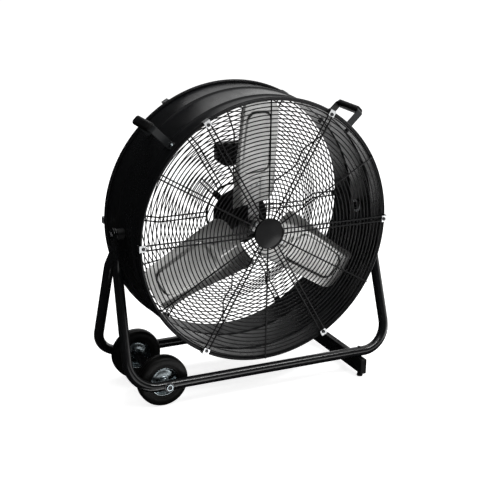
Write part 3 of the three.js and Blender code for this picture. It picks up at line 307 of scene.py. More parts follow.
class GeometryBench(Bench):
    """A Geometry Nodes tree under construction, with named sizes as its inputs."""

    def __init__(self, name: str) -> None:
        """Starts a tree with a geometry input and output.

        Args:
            name: the tree's name.
        """
        super().__init__(bpy.data.node_groups.new(name, "GeometryNodeTree"))
        for way in ("INPUT", "OUTPUT"):
            self.tree.interface.new_socket("Geometry", in_out=way, socket_type="NodeSocketGeometry")
        self.entry = self.node("NodeGroupInput")
        self.exit = self.node("NodeGroupOutput")

    def size(self, name: str, whole: bool = False) -> Number:
        """Adds a named input.

        Args:
            name: the input's name.
            whole: True for a count.

        Returns:
            The input as a number.
        """
        kind = "NodeSocketInt" if whole else "NodeSocketFloat"
        self.tree.interface.new_socket(name, in_out="INPUT", socket_type=kind)
        return Number(self, self.entry.outputs[name])

    def index(self) -> Number:
        """The index of each point."""
        return Number(self, self.node("GeometryNodeInputIndex").outputs[0])

    def turned(self, angle: Number) -> bpy.types.NodeSocket:
        """A rotation about Y by an angle."""
        euler = self.vector(0.0, angle, 0.0)
        return self.node("FunctionNodeEulerToRotation", None, {0: euler}).outputs[0]

    def instances(self, points: object, shape: object, **placing: object) -> bpy.types.NodeSocket:
        """Copies of a shape on points."""
        inputs = {"Points": points, "Instance": shape, **placing}
        return self.node("GeometryNodeInstanceOnPoints", None, inputs).outputs[0]

    def wire(self, curve: object, radius: Number, sides: int) -> bpy.types.NodeSocket:
        """A round wire along curves, with closed ends.

        Args:
            curve: the curves.
            radius: radius of the wire.
            sides: facets round it.

        Returns:
            The wire's geometry.
        """
        real = self.node("GeometryNodeRealizeInstances", None, {0: curve}).outputs[0]
        even = self.node("GeometryNodeSetCurveRadius", None, {"Curve": real, "Radius": 1.0})
        size = {"Resolution": sides, "Radius": radius}
        section = self.node("GeometryNodeCurvePrimitiveCircle", None, size)
        inputs = {"Curve": even.outputs[0], "Profile Curve": section.outputs[0], "Fill Caps": True}
        return self.node("GeometryNodeCurveToMesh", None, inputs).outputs[0]

    def close(self, geometry: object, material: bpy.types.Material) -> None:
        """Ends the tree: real geometry, smooth, with its material.

        Args:
            geometry: what the tree has made.
            material: its finish.
        """
        real = self.node("GeometryNodeRealizeInstances", None, {0: geometry}).outputs[0]
        smooth = self.node("GeometryNodeSetShadeSmooth", None, {"Geometry": real}).outputs[0]
        inputs = {"Geometry": smooth, "Material": material}
        dressed = self.node("GeometryNodeSetMaterial", None, inputs).outputs[0]
        self.feed(self.exit.inputs[0], dressed)

    def grow(self, name: str, seed: "Shape", sizes: dict[str, float]) -> bpy.types.Object:
        """Runs the tree on a seed shape and keeps the result as a plain mesh.

        Args:
            name: the new object's name.
            seed: what the tree starts from.
            sizes: value of each named input.

        Returns:
            An object with the plain mesh.
        """
        seed_mesh = bpy.data.meshes.new(f"{name}_seed")
        seed_mesh.from_pydata([p[:] for p in seed.points], seed.edges, seed.faces)
        if seed.facing:
            facing = seed_mesh.attributes.new("facing", "FLOAT_VECTOR", "POINT")
            facing.data.foreach_set("vector", [value for v in seed.facing for value in v])
        grower = bpy.data.objects.new(f"{name}_seed", seed_mesh)
        bpy.context.scene.collection.objects.link(grower)
        modifier = grower.modifiers.new("tree", "NODES")
        modifier.node_group = self.tree
        for item in self.tree.interface.items_tree:
            if item.in_out == "INPUT" and item.name in sizes:
                modifier[item.identifier] = sizes[item.name]
        grown = grower.evaluated_get(bpy.context.evaluated_depsgraph_get())
        mesh = bpy.data.meshes.new_from_object(grown)
        mesh.name = name
        bpy.data.objects.remove(grower)
        bpy.data.meshes.remove(seed_mesh)
        return linked(name, mesh)


# --------------------------------------------------------------------------- shapes


def rounded(corners: Sequence[Corner], closed: bool = True, steps: int = 6) -> list[Vector]:
    """Rounds the corners of a flat outline.

    Args:
        corners: x, y and radius of each corner.
        closed: whether the outline runs back to its start.
        steps: straight pieces in each arc.

    Returns:
        The points of the rounded outline.
    """
    points: list[Vector] = []
    last = len(corners) - 1
    for i, (x, y, radius) in enumerate(corners):
        here = Vector((x, y))
        if radius <= 0.0 or (not closed and i in (0, last)):
            points.append(here)
            continue
        before = (Vector(corners[i - 1][:2]) - here).normalized()
        after = (Vector(corners[(i + 1) % len(corners)][:2]) - here).normalized()
        turn = math.pi - before.angle(after)
        start = here + before * radius * math.tan(turn / 2)
        centre = here + (before + after).normalized() * radius / math.cos(turn / 2)
        way = 1.0 if before.x * after.y - before.y * after.x < 0 else -1.0
        for k in range(steps + 1):
            points.append(centre + Matrix.Rotation(way * turn * k / steps, 2) @ (start - centre))
    return points


def ease(share: float) -> float:
    """Smooth step from 0 to 1."""
    held = min(max(share, 0.0), 1.0)
    return held * held * (3.0 - 2.0 * held)


def mixed(low: float, high: float, share: float) -> float:
    """Value at a share of the way from low to high."""
    return low + (high - low) * share


def about_y(angle: float) -> Matrix:
    """Turns +X towards +Z by an angle, as seen from the front of the fan."""
    return Matrix.Rotation(-angle, 4, "Y")


def rectangle(half_x: float, half_y: float, radius: float) -> list[Corner]:
    """Corners of a rectangle about the middle, for rounding."""
    signs = ((-1, -1), (1, -1), (1, 1), (-1, 1))
    return [(half_x * across, half_y * up, radius) for across, up in signs]


def lifted(profile: Sequence[Size], y: float) -> list[Size]:
    """A profile of (radius, y) points moved along its axis."""
    return [(radius, y + along) for radius, along in profile]


def fallen(past: float, radius: float) -> float:
    """How far a rounded corner falls behind its edge, at a distance past the start of its arc."""
    inside = min(max(past, 0.0), radius) / radius
    return radius * (1.0 - math.sqrt(1.0 - inside * inside))


def thickened(front: list[Vector], sheet: float) -> list[Vector]:
    """Ring round a sheet, from a row of points on its front face."""
    return front + [point + Vector((0.0, sheet, 0.0)) for point in reversed(front)]


@dataclass
class Shape:
    """Points, edges and faces of a piece before it becomes a mesh."""

    points: list[Vector]
    faces: list[tuple[int, ...]] = field(default_factory=list)
    edges: list[tuple[int, int]] = field(default_factory=list)
    facing: list[Vector] = field(default_factory=list)

    @classmethod
    def line(cls, points: Sequence[Vector]) -> "Shape":
        """A polyline."""
        return cls(list(points), edges=[(i, i + 1) for i in range(len(points) - 1)])

    @classmethod
    def turned(cls, profile: Iterable[Sequence[float]], steps: int = 96, loop: bool = False) -> "Shape":
        """A profile of (radius, y) points turned about Y.

        Args:
            profile: points from one end on the axis to the other, or a closed loop.
            steps: facets round the axis.
            loop: whether the profile closes on itself.

        Returns:
            The turned shape.
        """
        points: list[Vector] = []
        rows: list[list[int]] = []
        for radius, along in profile:
            copies = 1 if radius < MERGE_DISTANCE else steps
            rows.append(list(range(len(points), len(points) + copies)))
            for k in range(copies):
                angle = math.tau * k / steps
                points.append(Vector((radius * math.cos(angle), along, radius * math.sin(angle))))
        faces: list[tuple[int, ...]] = []
        for low, high in zip(rows, rows[1:] + (rows[:1] if loop else [])):
            for k in range(steps):
                around = [low[k % len(low)], low[(k + 1) % steps % len(low)]]
                around += [high[(k + 1) % steps % len(high)], high[k % len(high)]]
                face = tuple(dict.fromkeys(around))
                if len(face) > 2:
                    faces.append(face)
        return cls(points, faces)

    @classmethod
    def lofted(cls, rings: Sequence[Sequence[Vector]], strip: bool = False) -> "Shape":
        """A skin through rings of points, closed at both ends.

        Args:
            rings: rings with the same number of points.
            strip: closes the ends by strips across a thin ring, and not by one face.

        Returns:
            The lofted shape.
        """
        count = len(rings[0])
        points = [point for ring in rings for point in ring]
        last = len(points) - count
        faces: list[tuple[int, ...]] = []
        for start in range(0, last, count):
            for k in range(count):
                onward = (k + 1) % count
                faces.append((start + k, start + onward, start + count + onward, start + count + k))
        for base in (0, last):
            if strip:
                for k in range(count // 2 - 1):
                    faces.append((base + k, base + k + 1, base + count - 2 - k, base + count - 1 - k))
            else:
                faces.append(tuple(range(base, base + count)))
        return cls(points, faces)

    @classmethod
    def plate(cls, outline: Sequence[Vector], low: float, high: float) -> "Shape":
        """A flat outline in x and z, between two values of y."""
        rings = [[Vector((p.x, y, p.y)) for p in outline] for y in (low, high)]
        return cls.lofted(rings)

    def moved(self, matrix: Matrix) -> "Shape":
        """The shape moved by a matrix."""
        return Shape([matrix @ p for p in self.points], self.faces)

    def __add__(self, other: "Shape") -> "Shape":
        """Two shapes side by side in one piece.

        Args:
            other: the second shape.

        Returns:
            Both of them as one.
        """
        shift = len(self.points)
        faces = [tuple(i + shift for i in face) for face in other.faces]
        return Shape(self.points + other.points, self.faces + faces)


def linked(name: str, mesh: bpy.types.Mesh) -> bpy.types.Object:
    """Puts a mesh into the scene as an object at the origin.

    Args:
        name: the object's name.
        mesh: its mesh.

    Returns:
        The new object.
    """
    piece = bpy.data.objects.new(name, mesh)
    bpy.context.scene.collection.objects.link(piece)
    return piece


def made(name: str, shape: Shape, material: bpy.types.Material,
         crease: float = SHARP) -> bpy.types.Object:
    """Makes an object from a shape.

    Args:
        name: the object's name.
        shape: its points and faces.
        material: its finish.
        crease: edges sharper than this many degrees stay sharp.

    Returns:
        The new object.
    """
    mesh = bpy.data.meshes.new(name)
    mesh.from_pydata([p[:] for p in shape.points], [], shape.faces)
    work = bmesh.new()
    work.from_mesh(mesh)
    bmesh.ops.remove_doubles(work, verts=work.verts, dist=MERGE_DISTANCE)
    bmesh.ops.recalc_face_normals(work, faces=work.faces)
    work.to_mesh(mesh)
    work.free()
    mesh.shade_smooth()
    mesh.set_sharp_from_angle(angle=math.radians(crease))
    mesh.materials.append(material)
    return linked(name, mesh)


def softened(piece: bpy.types.Object, width: float, segments: int = 2) -> bpy.types.Object:
    """Rounds the sharp edges of a piece with a bevel.

    Args:
        piece: the piece.
        width: width of the bevel.
        segments: facets across it.

    Returns:
        The same piece.
    """
    bevel = piece.modifiers.new("edge", "BEVEL")
    bevel.width = width
    bevel.segments = segments
    bevel.limit_method = "ANGLE"
    bevel.angle_limit = math.radians(SHARP)
    return piece


def merged(name: str, parts: Sequence[bpy.types.Object]) -> bpy.types.Object:
    """Joins plain mesh objects of one finish into one piece.

    Args:
        name: name of the whole.
        parts: the objects, which are removed.

    Returns:
        The joined object.
    """
    work = bmesh.new()
    for part in parts:
        work.from_mesh(part.data)
    mesh = bpy.data.meshes.new(name)
    work.to_mesh(mesh)
    work.free()
    mesh.materials.append(parts[0].data.materials[0])
    mesh.shade_smooth()
    mesh.set_sharp_from_angle(angle=math.radians(50.0))
    for part in parts:
        bpy.data.objects.remove(part)
    return linked(name, mesh)


def fitted(piece: bpy.types.Object, body: Body, slot: Slot, *nodes: str) -> bpy.types.Object:
    """Hangs a piece on its body.

    Args:
        piece: the finished piece.
        body: the body that it moves with.
        slot: not used.
        nodes: the frame's nodes that it stands for.

    Returns:
        The same piece.
    """
    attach(piece, body.value)
    if nodes:
        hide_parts(*nodes)
    LOG.info("%s rides on %s", piece.name, body.value)
    return piece


def dress(node: bpy.types.Object, material: bpy.types.Material) -> None:
    """Gives a node of the frame its finish.

    Args:
        node: the frame's node.
        material: its finish.
    """
    node.data.materials.clear()
    node.data.materials.append(material)
    node.data.shade_smooth()
    node.data.set_sharp_from_angle(angle=math.radians(30.0))


def strip_outline(line: Sequence[Vector], thickness: float) -> list[Vector]:
    """Outline of a strip of sheet that follows a flat line at its middle.

    Args:
        line: points of the line.
        thickness: thickness of the sheet.

    Returns:
        The closed outline.
    """
    sides: tuple[list[Vector], list[Vector]] = ([], [])
    for i, point in enumerate(line):
        along = (line[min(i + 1, len(line) - 1)] - line[max(i - 1, 0)]).normalized()
        across = Vector((-along.y, along.x)) * thickness / 2
        sides[0].append(point + across)
        sides[1].append(point - across)
    return sides[0] + sides[1][::-1]


def hexagonal(across: float, low: float, high: float, chamfer: float = 0.0008) -> Shape:
    """A hexagonal bolt head or nut along Y, with its upper corners taken off.

    Args:
        across: distance over the corners.
        low: y of the seat.
        high: y of the top.
        chamfer: height of the corner chamfer.

    Returns:
        The head as a shape.
    """
    rings = []
    for y, radius in ((low, across / 2), (high - chamfer, across / 2), (high, across / 2 * 0.9)):
        ring = []
        for k in range(6):
            angle = math.tau * k / 6
            ring.append(Vector((radius * math.cos(angle), y, radius * math.sin(angle))))
        rings.append(ring)
    return Shape.lofted(rings)


# --------------------------------------------------------------------------- finishes


@dataclass(frozen=True)
class PowderCoat:
    """Semi-gloss powder coat with a fine orange peel and faint handling marks."""

    name: str
    tone: Colour
    gloss: float
    index: float = 1.25
    peel_scale: float = 620.0
    peel_depth: float = 0.00022

    def material(self) -> bpy.types.Material:
        """Builds the material.

        Returns:
            The material.
        """
        bench = ShaderBench(self.name)
        marks = bench.noise(9.0, 5.0)
        scuffs = bench.noise(70.0, 4.0, (1.0, 0.25, 1.0)).between(0.45, 0.75)
        paler = tuple(channel * 1.45 + 0.002 for channel in self.tone)
        bench.bump(bench.noise(self.peel_scale, 2.0), 0.25, self.peel_depth)
        return bench.finish(
            Base_Color=bench.blend(marks, self.tone, paler),
            Roughness=self.gloss + 0.1 * marks.between(0.35, 0.7) + 0.07 * scuffs,
            IOR=self.index,
        )


@dataclass(frozen=True)
class RolledAluminium:
    """Rolled aluminium sheet with fine lengthwise lines and a dull bloom."""

    name: str
    tone: Colour
    gloss: float

    def material(self) -> bpy.types.Material:
        """Builds the material.

        Returns:
            The material.
        """
        bench = ShaderBench(self.name)
        lines = bench.noise(60.0, 6.0, (14.0, 3.0, 0.6))
        bloom = bench.noise(14.0, 4.0).between(0.3, 0.75)
        dull = tuple(channel * 0.72 for channel in self.tone)
        bench.bump(lines, 0.12, 0.0001)
        return bench.finish(
            Base_Color=bench.blend(bloom, self.tone, dull),
            Metallic=1.0,
            Roughness=self.gloss + 0.12 * bloom + 0.08 * lines,
        )


@dataclass(frozen=True)
class PlatedSteel:
    """Zinc or chrome plate with spangle, fine scratches and a cloudy film."""

    name: str
    tone: Colour
    gloss: float
    spangle: float

    def material(self) -> bpy.types.Material:
        """Builds the material.

        Returns:
            The material.
        """
        bench = ShaderBench(self.name)
        crystals = bench.grains(self.spangle)
        film = bench.noise(35.0, 5.0).between(0.35, 0.75)
        scratches = bench.noise(260.0, 3.0, (1.0, 0.1, 1.0)).between(0.5, 0.8)
        cloudy = tuple(channel * 0.78 for channel in self.tone)
        bench.bump(scratches + 0.4 * crystals, 0.08, 0.00008)
        return bench.finish(
            Base_Color=bench.blend(film, self.tone, cloudy),
            Metallic=1.0,
            Roughness=self.gloss + 0.14 * film + 0.06 * crystals,
        )


@dataclass(frozen=True)
class MouldedRubber:
    """Moulded rubber or foam with pores and a dusty bloom."""

    name: str
    tone: Colour
    dusty: Colour
    gloss: float
    pore_scale: float
    pore_depth: float

    def material(self) -> bpy.types.Material:
        """Builds the material.

        Returns:
            The material.
        """
        bench = ShaderBench(self.name)
        dust = bench.noise(28.0, 6.0).between(0.42, 0.8)
        pores = bench.grains(self.pore_scale)
        bench.bump(pores + bench.noise(self.pore_scale * 0.6, 3.0), 0.35, self.pore_depth)
        return bench.finish(
            Base_Color=bench.blend(dust, self.tone, self.dusty),
            Roughness=self.gloss + 0.12 * dust,
            IOR=1.24,
        )


@dataclass(frozen=True)
class MouldedPlastic:
    """Black moulded plastic with a spark-eroded grain."""

    name: str
    tone: Colour
    gloss: float
    grain_depth: float
    index: float = 1.36

    def material(self) -> bpy.types.Material:
        """Builds the material.

        Returns:
            The material.
        """
        bench = ShaderBench(self.name)
        wear = bench.noise(22.0, 4.0).between(0.4, 0.8)
        worn = tuple(channel * 1.6 + 0.004 for channel in self.tone)
        bench.bump(bench.noise(1500.0, 2.0), 0.3, self.grain_depth)
        return bench.finish(
            Base_Color=bench.blend(wear, self.tone, worn),
            Roughness=self.gloss + 0.1 * wear,
            IOR=self.index,
        )


class Palette:
    """The finishes of the fan, each built once."""

    def __init__(self) -> None:
        """Builds every material."""
        black: Colour = (0.0045, 0.0047, 0.0052)
        self.coat = PowderCoat("black_powder_coat", black, 0.24).material()
        self.tube = PowderCoat("black_tube_coat", black, 0.1, 1.5, 420.0, 0.00005).material()
        self.wire = PowderCoat("black_wire_coat", (0.004, 0.004, 0.0045), 0.34).material()
        self.strap = PowderCoat("grey_strap_coat", (0.014, 0.015, 0.016), 0.28, 1.35).material()
        self.motor = PowderCoat("black_motor_paint", (0.003, 0.003, 0.0033), 0.38, 1.2).material()
        self.bar = PowderCoat("black_bar_coat", black, 0.2, 1.2).material()
        self.blade = RolledAluminium("blade_aluminium", (0.55, 0.55, 0.54), 0.25).material()
        self.hub = PlatedSteel("hub_steel", (0.3, 0.3, 0.3), 0.25, 160.0).material()
        self.zinc = PlatedSteel("zinc_plate", (0.62, 0.63, 0.64), 0.3, 220.0).material()
        self.chrome = PlatedSteel("bright_plate", (0.38, 0.43, 0.45), 0.18, 90.0).material()
        self.dark_steel = PlatedSteel("dark_bolt_steel", (0.05, 0.05, 0.053), 0.3, 240.0).material()
        self.tyre = MouldedRubber(
            "tyre_rubber", (0.004, 0.004, 0.0038), (0.009, 0.0085, 0.008), 0.42, 900.0, 0.00015
        ).material()
        self.foot = MouldedRubber(
            "foot_rubber", (0.008, 0.008, 0.008), (0.018, 0.017, 0.016), 0.62, 700.0, 0.0002
        ).material()
        self.foam = MouldedRubber(
            "grip_foam", (0.004, 0.004, 0.0045), (0.009, 0.009, 0.009), 0.5, 620.0, 0.0003
        ).material()
        self.plastic = MouldedPlastic("black_plastic", (0.008, 0.008, 0.0085), 0.4, 0.00012).material()
        self.gloss_plastic = MouldedPlastic(
            "badge_plastic", (0.003, 0.003, 0.0033), 0.14, 0.00003, 1.2
        ).material()
        self.gland = MouldedPlastic("grey_gland_plastic", (0.16, 0.16, 0.165), 0.35, 0.00006).material()


# --------------------------------------------------------------------------- repeated parts


class RingTree(GeometryBench):
    """Concentric wire rings on one plane or down into a dish."""

    FACETS = 144
    SIDES = 8

    def __init__(self, material: bpy.types.Material) -> None:
        """Builds the tree.

        Args:
            material: finish of the wires.
        """
        super().__init__("guard_rings")
        count = self.size("Count", whole=True)
        radius = self.size("First Radius") + self.size("Pitch") * self.index()
        slope = radius.between(self.size("Floor Radius"), self.size("Top Radius"))
        along = self.size("Plane") - self.size("Dish Depth") * (1.0 - slope)
        points = self.node("GeometryNodePoints", None, {"Count": count}).outputs[0]
        place = self.vector(0.0, along, AXIS_HEIGHT)
        put = {"Geometry": points, "Position": place}
        placed = self.node("GeometryNodeSetPosition", None, put).outputs[0]
        unit = {"Resolution": self.FACETS, "Radius": 1.0}
        circle = self.node("GeometryNodeCurvePrimitiveCircle", None, unit)
        upright = {"Geometry": circle.outputs[0], "Rotation": Euler((math.pi / 2, 0.0, 0.0))}
        ring = self.node("GeometryNodeTransform", None, upright).outputs[0]
        rings = self.instances(placed, ring, Scale=self.vector(radius, 1.0, radius))
        self.close(self.wire(rings, self.size("Wire Radius"), self.SIDES), material)


class SpokeTree(GeometryBench):
    """Wires along a bent line, side by side and repeated round the axis of the drum."""

    BEND_STEPS = 5
    SIDES = 10

    def __init__(self, material: bpy.types.Material) -> None:
        """Builds the tree.

        Args:
            material: finish of the wires.
        """
        super().__init__("guard_spokes")
        copies = self.size("Copies", whole=True)
        abreast = self.size("Abreast", whole=True)
        line = self.node("GeometryNodeMeshToCurve", None, {"Mesh": self.entry.outputs[0]}).outputs[0]
        bend = {"Curve": line, "Count": self.BEND_STEPS, "Radius": self.size("Bend Radius")}
        bent = self.node("GeometryNodeFilletCurve", {"mode": "POLY"}, bend)
        beside = (self.index() - (abreast - 1.0) / 2.0) * self.size("Spacing")
        row = self.node("GeometryNodePoints", None, {"Count": abreast}).outputs[0]
        shift = {"Geometry": row, "Position": self.vector(0.0, 0.0, beside)}
        spread = self.node("GeometryNodeSetPosition", None, shift).outputs[0]
        pair = self.instances(spread, bent.outputs[0])
        turn = -(self.size("Phase") + self.index() * math.tau / copies)
        centre = self.node("GeometryNodePoints", None, {"Count": copies}).outputs[0]
        lift = {"Geometry": centre, "Position": self.vector(0.0, 0.0, AXIS_HEIGHT)}
        lifted = self.node("GeometryNodeSetPosition", None, lift).outputs[0]
        star = self.instances(lifted, pair, Rotation=self.turned(turn))
        self.close(self.wire(star, self.size("Wire Radius"), self.SIDES), material)


class ScrewTree(GeometryBench):
    """Round heads with a hexagon socket, set on points that carry their facing."""

    def __init__(self, material: bpy.types.Material) -> None:
        """Builds the tree.

        Args:
            material: finish of the heads.
        """
        super().__init__(f"screws_{material.name}")
        radius = self.size("Head Radius")
        height = self.size("Head Height")
        cone = {"Vertices": 24, "Radius Top": radius * 0.8, "Radius Bottom": radius, "Depth": height}
        head = self.node("GeometryNodeMeshCone", None, cone).outputs[0]
        hexagon = {"Vertices": 6, "Radius": radius * 0.45, "Depth": height}
        socket = self.node("GeometryNodeMeshCylinder", None, hexagon).outputs[0]
        lift = {"Geometry": socket, "Translation": self.vector(0.0, 0.0, height * 1.2)}
        raised = self.node("GeometryNodeTransform", None, lift).outputs[0]
        cut = {"Mesh 1": head, "Mesh 2": raised}
        drilled = self.node("GeometryNodeMeshBoolean", {"operation": "DIFFERENCE"}, cut).outputs[0]
        kind = {"data_type": "FLOAT_VECTOR"}
        named = self.node("GeometryNodeInputNamedAttribute", kind, {"Name": "facing"})
        align = {"Vector": named.outputs[0]}
        turn = self.node("FunctionNodeAlignRotationToVector", {"axis": "Z"}, align).outputs[0]
        seats = self.node("GeometryNodeMeshToPoints", None, {"Mesh": self.entry.outputs[0]}).outputs[0]
        self.close(self.instances(seats, drilled, Rotation=turn), material)

    def set(self, name: str, seats: Seats, radius: float, height: float) -> bpy.types.Object:
        """Sets one head on each seat.

        Args:
            name: the new object's name.
            seats: place and facing of each head.
            radius: radius of a head.
            height: height of a head.

        Returns:
            All the heads as one object.
        """
        seed = Shape([place for place, _ in seats], facing=[facing for _, facing in seats])
        heads = self.grow(name, seed, {"Head Radius": radius, "Head Height": height})
        heads.data.set_sharp_from_angle(angle=math.radians(30.0))
        return heads


class Workshop:
    """The finishes and the trees of repeated parts, shared by all sub-assemblies."""

    def __init__(self) -> None:
        """Builds the palette and the trees."""
        self.finish = Palette()
        self.rings = RingTree(self.finish.wire)
        self.spokes = SpokeTree(self.finish.wire)
        self.zinc_screws = ScrewTree(self.finish.zinc)
        self.dark_screws = ScrewTree(self.finish.dark_steel)


@dataclass
class SubAssembly:
    """Pieces of the fan that are made together, most of them on one body."""

    shop: Workshop

    body = Body.DRUM

    @property
    def finish(self) -> Palette:
        """The fan's finishes."""
        return self.shop.finish

    def add(self, name: str, shape: Shape, finish: bpy.types.Material, slot: Slot, *nodes: str,
            crease: float = SHARP, edge: float = 0.0, rounds: int = 2, on: Body | None = None) -> None:
        """Makes a piece and hangs it on its body.

        Args:
            name: the piece's name.
            shape: its points and faces, in place.
            finish: its material.
            slot: the record's material slot of its finish.
            nodes: the frame's nodes that it stands for.
            crease: edges sharper than this many degrees stay sharp.
            edge: width of the bevel on its sharp edges, or 0 for none.
            rounds: segments of that bevel.
            on: its body, where that isn't the sub-assembly's own.
        """
        piece = made(name, shape, finish, crease)
        if edge:
            softened(piece, edge, rounds)
        fitted(piece, on or self.body, slot, *nodes)

    def add_screws(self, tree: ScrewTree, name: str, seats: Seats, head: Size, slot: Slot) -> None:
        """Sets screws and hangs them on the sub-assembly's body.

        Args:
            tree: the tree of their finish.
            name: their name as one piece.
            seats: place and facing of each head.
            head: radius and height of a head.
            slot: the record's material slot of their finish.
        """
        fitted(tree.set(name, seats, *head), self.body, slot)


# --------------------------------------------------------------------------- drum


@dataclass
class DrumShell(SubAssembly):
    """Rolled sheet drum with two beads and a curled rim at each end."""

    wall: float = 0.32148
    sheet: float = 0.002
    half_depth: float = 0.122
    curl: float = 0.0049
    curl_reach: float = 1.8
    curl_steps: int = 20
    beads: tuple[float, ...] = (-0.063, 0.038)
    bead_width: float = 0.014
    bead_height: float = 0.004
    bead_steps: int = 16
    facets: int = 256

    def swell(self, y: float) -> float:
        """Height of the beads above the wall at a place along the drum."""
        shares = [min(abs(y - bead) / (self.bead_width / 2), 1.0) for bead in self.beads]
        return self.bead_height * (1.0 + math.cos(math.pi * min(shares))) / 2

    def wall_line(self) -> list[float]:
        """Places along the wall between the curls.

        Returns:
            Rising values of y, close together across the beads.
        """
        edge = self.half_depth - self.curl * self.curl_reach
        places = [-edge, edge]
        for bead in self.beads:
            for k in range(self.bead_steps + 1):
                places.append(bead + self.bead_width * (k / self.bead_steps - 0.5))
        return sorted(places)

    def build(self) -> None:
        """Builds the shell."""
        centre = self.wall - self.sheet + self.curl
        low = self.half_depth - self.curl
        sweep = math.pi + math.acos((self.wall - centre) / self.curl)
        angles = [sweep * k / self.curl_steps - math.pi for k in range(self.curl_steps + 1)]
        curl = [(centre + self.curl * math.cos(a), low - self.curl * math.sin(a)) for a in angles]
        front = [(r, -y) for r, y in curl]
        outside = [(self.wall + self.swell(y), y) for y in self.wall_line()]
        inside = [(r - self.sheet, y) for r, y in reversed(outside)]
        shape = Shape.turned(front + outside + curl[::-1] + inside, self.facets, loop=True)
        self.add("drum_wall", shape.moved(AXIS), self.finish.coat, Slot.BLACK_COAT, "drum_shell",
                 crease=60.0)


@dataclass
class WireGuard(SubAssembly):
    """Concentric rings on spokes, flat at the front and dished at the rear round the motor."""

    end: End
    ring_plane: float = 0.12305
    spoke_plane: float = 0.12675
    ring_wire: float = 0.0015
    spoke_wire: float = 0.0019
    first_radius: float = 0.0443
    pitch: float = 0.00972
    outer_radius: float = 0.3253
    rim_gap: float = 0.004
    pair_spacing: float = 0.0115
    pair_overhang: float = 0.0035
    bend_radius: float = 0.014
    dish_depth: float = 0.053
    dish_floor: float = 0.202
    dish_top: float = 0.260
    motor_ring: float = 0.075
    motor_ring_wire: float = 0.003
    arm_length: float = 0.052
    arm_spacing: float = 0.0092
    disc_radius: float = 0.036
    disc_sheet: float = 0.0015
    disc_chamfer: float = 0.001
    spoke_lap: float = 0.006

    @property
    def dished(self) -> bool:
        """Whether the guard carries the motor."""
        return self.end is End.REAR

    def grow_rings(self, name: str, count: int, first: float, pitch: float,
                   wire: float) -> bpy.types.Object:
        """Grows rings at one pitch.

        Args:
            name: the rings' name.
            count: how many.
            first: radius of the smallest.
            pitch: from one to the next.
            wire: radius of the wire.

        Returns:
            The rings as one object.
        """
        sizes = {"Count": count, "First Radius": first, "Pitch": pitch, "Wire Radius": wire}
        sizes |= {"Floor Radius": self.dish_floor, "Top Radius": self.dish_top}
        sizes |= {"Dish Depth": self.dish_depth if self.dished else 0.0}
        sizes |= {"Plane": self.end.value * self.ring_plane}
        return self.shop.rings.grow(name, Shape([Vector()]), sizes)

    def rings(self) -> list[bpy.types.Object]:
        """Grows the rings.

        Returns:
            The rings, and the thick ring under the motor.
        """
        skipped = 0
        if self.dished:
            skipped = math.ceil((self.motor_ring - self.first_radius) / self.pitch) + 1
        first = self.first_radius + skipped * self.pitch
        count = math.floor((self.outer_radius - self.rim_gap - first) / self.pitch) + 1
        grown = [self.grow_rings("rings", count, first, self.pitch, self.ring_wire)]
        grown.append(self.grow_rings("rim_ring", 1, self.outer_radius, self.pitch, self.ring_wire))
        if self.dished:
            thick = self.grow_rings("motor_ring", 1, self.motor_ring, 0.0, self.motor_ring_wire)
            grown.append(thick)
        return grown

    def line(self, start: float, stop: float) -> Shape:
        """Line of a spoke from near the middle to the rim.

        Args:
            start: radius of its inner end.
            stop: radius of its outer end.

        Returns:
            The line, pointing along +X.
        """
        top = self.end.value * self.spoke_plane
        if not self.dished:
            return Shape.line([Vector((start, top, 0.0)), Vector((stop, top, 0.0))])
        floor = top - self.dish_depth
        points = [Vector((start, floor, 0.0)), Vector((min(stop, self.dish_floor), floor, 0.0))]
        if stop > self.dish_top:
            points += [Vector((self.dish_top, top, 0.0)), Vector((stop, top, 0.0))]
        return Shape.line(points)

    def spokes(self, name: str, line: Shape, copies: int, abreast: int, phase: float,
               spacing: float) -> bpy.types.Object:
        """Grows spokes round the axis of the drum.

        Args:
            name: the spokes' name.
            line: line of one spoke.
            copies: how many places they take round the axis.
            abreast: wires side by side at each place.
            phase: degrees from +X to the first place.
            spacing: distance between wires side by side.

        Returns:
            The spokes as one object.
        """
        sizes = {"Copies": copies, "Abreast": abreast, "Phase": math.radians(phase)}
        sizes |= {"Spacing": spacing, "Bend Radius": self.bend_radius, "Wire Radius": self.spoke_wire}
        return self.shop.spokes.grow(name, line, sizes)

    def disc(self) -> bpy.types.Object:
        """Makes the disc that the front spokes end on.

        Returns:
            The disc.
        """
        back = self.spoke_plane + self.spoke_wire
        face = back + self.disc_sheet
        profile = [(0.0, -face), (self.disc_radius, -face), (self.disc_radius + self.disc_chamfer, -back)]
        profile += [(self.disc_radius, -self.ring_plane), (0.0, -self.ring_plane)]
        return made("disc", Shape.turned(profile).moved(AXIS), self.finish.wire)

    def build(self) -> None:
        """Grows the guard and joins it into one piece."""
        start = self.disc_radius - self.spoke_lap
        if self.dished:
            start = self.motor_ring - self.motor_ring_wire
        single = self.line(start, self.outer_radius)
        pair = self.line(start, self.outer_radius + self.pair_overhang)
        parts = self.rings()
        parts.append(self.spokes("singles", single, 6, 1, 30.0, self.pair_spacing))
        parts.append(self.spokes("pairs", pair, 6, 2, 0.0, self.pair_spacing))
        if self.dished:
            arm = self.line(self.motor_ring, self.motor_ring + self.arm_length)
            parts.append(self.spokes("arms", arm, 4, 2, 45.0, self.arm_spacing))
        else:
            parts.append(self.disc())
        guard = merged(f"{self.end.word}_wire_guard", parts)
        fitted(guard, self.body, Slot.BLACK_COAT, f"{self.end.word}_grille")


